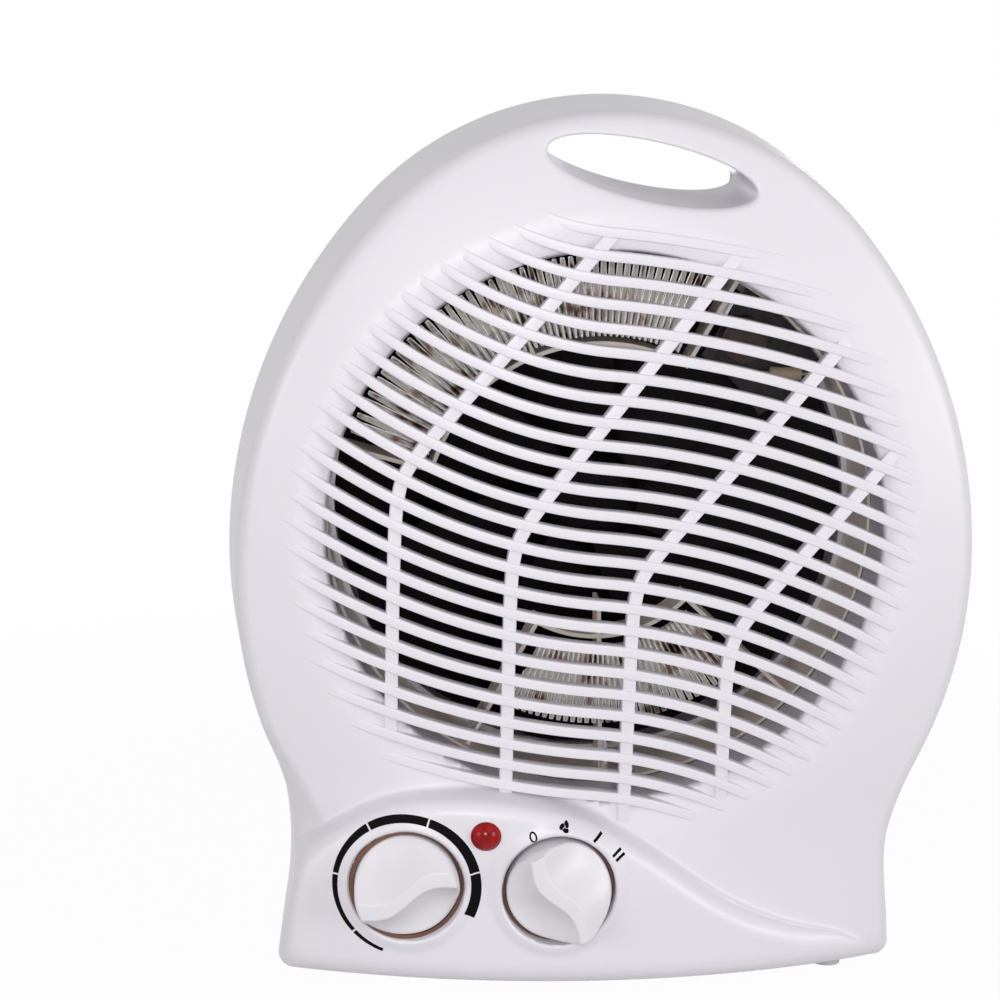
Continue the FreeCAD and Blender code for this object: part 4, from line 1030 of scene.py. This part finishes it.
for knobName, knobForm in knobs.items():
    makeKnob(knobName, knobForm)
print("knobs ready")


# Brown sleeve in each knob's well, seen in the gap round it; its brown is painted shade, standing for the
# shadowed well behind the gap

shadeSleeve = {"inner": 15.2, "outer": 16.28, "frontY": -57.6, "backY": -51.2, "count": 96}
for knobName, centre in knobX.items():
    skin = Skin()
    corners = [(shadeSleeve["outer"], shadeSleeve["frontY"]), (shadeSleeve["inner"], shadeSleeve["frontY"]),
               (shadeSleeve["inner"], shadeSleeve["backY"]), (shadeSleeve["outer"], shadeSleeve["backY"])]
    loops = [lifted(circle(centre, knobZ, radius, shadeSleeve["count"]), y) for radius, y in corners]
    first = skin.add(loops[0])
    last = skin.grow(first, loops[1:])
    skin.faces += strip(last, first)
    # the sleeve's brown is painted shade for the dark gap round the knob
    finishPiece(knobName + "ShadeSleeve", plainMesh(knobName, skin.points, skin.faces),
                made["brownPhenolicAndWellShade"])


# Printed marks: tapered temperature scale, and 0, fan, I, II round the selector

marks = {
    "lift": 0.05, "depth": 0.15,
    "scaleRadius": 21.2, "scaleFrom": 3.2, "scaleTo": 0.95, "gap": 1.5,
    "scaleAngles": [-24, 14, 74, 124, 174, 225, 252.5],
    "off": {"radius": 18.1, "angle": 116.5, "lean": 108, "halfWidth": 1.1, "halfHeight": 1.6, "stroke": 0.5,
            "count": 28},
    "fan": {"radius": 19.0, "angle": 87.5, "lean": 90, "size": 1.6, "blades": 3, "start": 10, "sweep": 55,
            "halfAngle": 52, "tipHalfAngle": 6, "inner": 0.08, "count": 9},
    "one": {"radius": 19.0, "angle": 56.5, "lean": 38, "length": 3.1, "width": 0.85, "shifts": [0]},
    "two": {"radius": 19.8, "angle": 32.5, "lean": 38, "length": 3.1, "width": 0.85,
            "shifts": [-0.85, 0.85]},
}


def printedMark(name, bands):
    # each band is a strip between two drawn edges, laid on the panel
    skin = Skin()
    for left, right, closed in bands:
        lanes = [left, (left + right) / 2, right]
        numbers = [skin.add(lifted(lane, casingY(*lane.T) + y))
                   for y in (-marks["lift"], marks["depth"]) for lane in lanes]
        sides = numbers[:3] + numbers[:2:-1]
        for first, second in zip(sides, sides[1:] + sides[:1]):
            quads = strip(first, second)
            skin.faces += quads if closed else quads[:-1]
        if not closed:
            skin.faces.append(tuple(side[0] for side in sides))
            skin.faces.append(tuple(side[-1] for side in reversed(sides)))
    finishPiece(name, plainMesh(name, skin.points, skin.faces, True), made["blackInk"])


def scaleBands():
    centre = (knobX["thermostat"], knobZ)
    angles = marks["scaleAngles"]
    bands = []
    for start, end in zip(angles, angles[1:]):
        start = start + (marks["gap"] / 2 if start > angles[0] else 0)
        end = end - (marks["gap"] / 2 if end < angles[-1] else 0)
        turn = np.linspace(start, end, 3 + int((end - start) / 4))
        share = (turn - angles[0]) / (angles[-1] - angles[0])
        thick = marks["scaleFrom"] + (marks["scaleTo"] - marks["scaleFrom"]) * share
        bands.append((polar(centre, marks["scaleRadius"], turn),
                      polar(centre, marks["scaleRadius"] - thick, turn), False))
    return bands


def markFrame(mark):
    # a mark's place round the selector, and its own right and up directions
    place = polar((knobX["selector"], knobZ), mark["radius"], [mark["angle"]])[0]
    up = polar((0, 0), 1, [mark["lean"]])[0]
    return place, np.array([up[1], -up[0]]), up


def barBands(mark):
    place, right, up = markFrame(mark)
    middleLine = place + np.outer(np.linspace(-0.5, 0.5, 4) * mark["length"], up)
    half = mark["width"] / 2
    return [(middleLine + (shift - half) * right, middleLine + (shift + half) * right, False)
            for shift in mark["shifts"]]


def ovalBands(mark):
    place, right, up = markFrame(mark)
    turn = turns(mark["count"])
    outer, inner = [place + np.outer((mark["halfWidth"] - cut) * np.cos(turn), right)
                    + np.outer((mark["halfHeight"] - cut) * np.sin(turn), up) for cut in (0, mark["stroke"])]
    return [(outer, inner, True)]


def fanBands(mark):
    place = markFrame(mark)[0]
    along = np.linspace(mark["inner"], 1, mark["count"])
    spread = mark["halfAngle"] * np.sin(math.pi * along ** 0.9) + mark["tipHalfAngle"]
    sweeps = [mark["start"] + 360 / mark["blades"] * blade + mark["sweep"] * along
              for blade in range(mark["blades"])]
    return [(polar(place, mark["size"] * along, sweep + spread),
             polar(place, mark["size"] * along, sweep - spread), False) for sweep in sweeps]


printedMark("scaleMarks", scaleBands())
printedMark("offMark", ovalBands(marks["off"]))
printedMark("fanMark", fanBands(marks["fan"]))
printedMark("oneMark", barBands(marks["one"]))
printedMark("twoMark", barBands(marks["two"]))
print("printed marks ready")


# Fan: broad overlapping blades on a round-nosed hub

blades = {"Count": 7, "Root": 13.0, "Tip": 76.2, "Root half angle": 31.0, "Tip half angle": 31.5,
          "Sweep": 24.0, "Root rise": 7.0, "Tip rise": 14.6, "Middle y": 3.0, "Camber": 1.6,
          "Thickness": 1.2, "Corner": 5.0, **atFan}
hub = {"profile": [(6.0, -4.9), (10.5, -4.2), (13.6, -2.6), (15.0, 0.0), (15.0, 10.8), (13.4, 10.8),
                   (13.4, 1.0), (5.0, 1.0), (5.0, 11.0), (2.4, 11.0), (2.4, 4.0)],
       "noseY": -5.0, "boreEndY": 4.0, "count": 64}


def bladeTree():
    tree, flow, given = geometryTree("fanBlades", blades)
    blank = flow.add("GeometryNodeMeshCube", {}, {"Size": (1, 1, 1), "Vertices X": 30, "Vertices Y": 26,
                                                  "Vertices Z": 2})
    chord, out, thick = flow.add("GeometryNodeInputPosition").parts()
    chord = chord * 2.0
    out = out + 0.5
    radius = between(given, "Root", "Tip", out) - given["Corner"] * (chord ** 2.0) ** 4.0 * out ** 4.0
    half = between(given, "Root half angle", "Tip half angle", out)
    turn = (half * chord + given["Sweep"] * out) * math.radians(1)
    rise = between(given, "Root rise", "Tip rise", out)
    y = given["Middle y"] + rise * 0.5 * chord
    y = y + given["Camber"] * (chord ** 2.0 - 0.5) + given["Thickness"] * thick
    bent = laidAt(flow, blank, radius * flow.maths("COSINE", turn), y, radius * flow.maths("SINE", turn))
    places = flow.add("GeometryNodeMeshLine", {}, {"Count": given["Count"], "Offset": (0, 0, 0)})
    number = flow.add("GeometryNodeInputIndex")
    spin = pointAt(flow, 0.0, number * fullTurn / given["Count"], 0.0)
    wheel = flow.add("GeometryNodeInstanceOnPoints", {}, {"Points": places, "Instance": bent,
                                                          "Rotation": spin})
    wheel = flow.add("GeometryNodeTransform", {}, {
        "Geometry": wheel, "Translation": pointAt(flow, given["Fan x"], 0.0, given["Fan z"])})
    return endTree(tree, flow, wheel, made["blackFanPlastic"])


def hubMesh():
    skin = Skin()
    loops = [lifted(circle(fanX, fanZ, radius, hub["count"]), y) for radius, y in hub["profile"]]
    first = skin.add(loops[0])
    skin.fan(first, (fanX, hub["noseY"], fanZ))
    skin.fan(skin.grow(first, loops[1:]), (fanX, hub["boreEndY"], fanZ))
    return plainMesh("hub", skin.points, skin.faces, True)


fanMesh = combined("fanWheel", [grown(bladeTree(), blades), hubMesh()])
fanWheel = finishPiece("fanWheel", fanMesh, made["blackFanPlastic"], "fan", 40)
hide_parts("impeller")
print("fan wheel ready")


# Heating ribbon: folded back and forth across its mica frame, each leg leaning the other way

ribbon = {"Middle y": -27.3, "Width": 2.5, "Thickness": 0.28, "Lean": 0.3, **atFan}
ribbons = {
    "upper": {"Folds": 54, "Samples": 1300, "Inner radius": 53.0, "Outer radius": 76.0, "Start": 66.0,
              "End": 163.0, **ribbon},
    "lower": {"Folds": 34, "Samples": 820, "Inner radius": 39.0, "Outer radius": 62.0, "Start": 247.0,
              "End": 314.0, **ribbon},
}


def ribbonTree():
    tree, flow, given = geometryTree("heatingRibbon", ribbons["upper"])
    paths, _, along = evenPaths(flow, 1, given["Samples"])
    phase = along * given["Folds"] * fullTurn
    wave = (flow.maths("SINE", phase) * 1.18).within(-1.0, 1.0)
    radius = (given["Inner radius"] + given["Outer radius"]) * 0.5 + (
        given["Outer radius"] - given["Inner radius"]) * 0.5 * wave
    turn = between(given, "Start", "End", along) * math.radians(1)
    cosine, sine = flow.maths("COSINE", turn), flow.maths("SINE", turn)
    laid = laidAt(flow, paths, given["Fan x"] + radius * cosine, given["Middle y"],
                  given["Fan z"] + radius * sine)
    lean = given["Lean"] * (flow.maths("COSINE", phase) * 3.0).within(-1.0, 1.0)
    aside = flow.maths("SINE", lean)
    normal = pointAt(flow, 0.0 - sine * aside, flow.maths("COSINE", lean), cosine * aside)
    section = quad(flow, given["Width"], given["Thickness"])
    return endTree(tree, flow, swept(flow, laid, normal, section), made["resistanceRibbon"])


foldedRibbon = ribbonTree()
for where, sizes in ribbons.items():
    mesh = grown(foldedRibbon, sizes)
    piece = finishPiece(where + "Ribbon", mesh, made["resistanceRibbon"])
    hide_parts("heater_wire_" + where)
print("heating ribbons ready")


# Studio: pale floor, white surround, soft lamps, and the camera

studio = {
    "camera": (-83.146, -696.007, 279.299), "yaw": 0.0787081, "pitch": -0.205860, "roll": 0.0375849,
    "lens": 85.387, "sensor": 36.0, "worldStrength": 0.36,
    "floorColour": (0.6, 0.6, 0.61, 1), "floorReach": 6.0, "floorNear": 0.2, "floorFade": 0.5,
    "floorGlow": 0.97,
    "aim": (0, 0, 0.12),
}
lamps = {  # where each stands, how wide and high it is, and its power
    "keyLamp": ((0.45, -0.75, 1.15), 0.7, 0.7, 0.9),
    "frontLamp": ((-0.084, -0.715, 0.3), 0.2, 0.16, 1.6),
    "leftLamp": ((-1.0, -0.75, 0.3), 0.5, 0.5, 2.9),
    "rightLamp": ((1.0, -0.75, 0.3), 0.5, 0.5, 4.4),
    "rearLamp": ((0.25, 1.18, 0.13), 0.3, 0.22, 3.0),
}


def stand(name, data, matrix):
    item = bpy.data.objects.new(name, data)
    item.matrix_world = matrix
    bpy.context.scene.collection.objects.link(item)
    return item


def addCamera():
    s = studio
    yaw, pitch, roll = s["yaw"], s["pitch"], s["roll"]
    forward = Vector((math.sin(yaw) * math.cos(pitch), math.cos(yaw) * math.cos(pitch), math.sin(pitch)))
    right = Vector((math.cos(yaw), -math.sin(yaw), 0))
    up = right.cross(forward)
    across = right * math.cos(roll) + up * math.sin(roll)
    upright = up * math.cos(roll) - right * math.sin(roll)
    lens = bpy.data.cameras.new("studioCamera")
    lens.lens = s["lens"]
    lens.sensor_width = s["sensor"]
    lens.clip_start = 0.01
    turned = Matrix((across, upright, -forward)).transposed().to_4x4()
    bpy.context.scene.camera = stand("studioCamera", lens, Matrix.Translation(metres(s["camera"])) @ turned)


def addLamps():
    for name, (place, wide, high, power) in lamps.items():
        lamp = bpy.data.lights.new(name, "AREA")
        lamp.shape = "RECTANGLE"
        lamp.size, lamp.size_y = wide, high
        lamp.energy = power
        aim = (Vector(studio["aim"]) - Vector(place)).to_track_quat("-Z", "Y")
        stand(name, lamp, Matrix.Translation(place) @ aim.to_matrix().to_4x4())


def seenDirectly(flow):
    # 1 for rays that show the surround: from the camera, off gloss, or through clear parts
    rays = [flow.add("ShaderNodeLightPath", output=name)
            for name in ("Is Camera Ray", "Is Glossy Ray", "Is Transmission Ray")]
    return flow.maths("MINIMUM", rays[0] + rays[1] + rays[2], 1.0)


def addSurround():
    world = bpy.data.worlds.new("studioWorld")
    world.use_nodes = True
    tree = world.node_tree
    background = tree.nodes["Background"]
    background.inputs["Color"].default_value = (1, 1, 1, 1)
    dim = studio["worldStrength"]
    strength = dim + (1.0 - dim) * seenDirectly(Flow(tree))
    tree.links.new(strength.socket, background.inputs["Strength"])
    bpy.context.scene.world = world


def addFloor():
    # matt, and fading into the white surround
    s = studio
    mesh = bpy.data.meshes.new("floor")
    corners = [(-1, -1, 0), (1, -1, 0), (1, 1, 0), (-1, 1, 0)]
    mesh.from_pydata([s["floorReach"] * Vector(corner) for corner in corners], [], [(0, 1, 2, 3)])
    material = bpy.data.materials.new("paleFloor")
    material.use_nodes = True
    tree = material.node_tree
    flow = Flow(tree)
    tree.nodes.remove(tree.nodes["Principled BSDF"])
    matt = flow.add("ShaderNodeBsdfDiffuse", {}, {"Color": s["floorColour"]})
    glow = flow.add("ShaderNodeEmission", {}, {"Color": (1, 1, 1, 1), "Strength": 1.0})
    place = flow.add("ShaderNodeTexCoord", output="Object")
    away = flow.add("ShaderNodeVectorMath", {"operation": "LENGTH"}, {0: place}, "Value")
    far = flow.add("ShaderNodeMapRange", {"interpolation_type": "SMOOTHSTEP"}, {
        "Value": away, "From Min": s["floorNear"], "From Max": s["floorFade"],
        "To Min": s["floorGlow"], "To Max": 1.0}, "Result")
    surface = flow.add("ShaderNodeMixShader", {}, {0: seenDirectly(flow) * far, 1: matt, 2: glow})
    tree.links.new(surface.socket, tree.nodes["Material Output"].inputs["Surface"])
    mesh.materials.append(material)
    stand("floor", mesh, Matrix())


addCamera()
addSurround()
addFloor()
addLamps()
bpy.context.scene.view_settings.view_transform = "Standard"
print("studio ready")
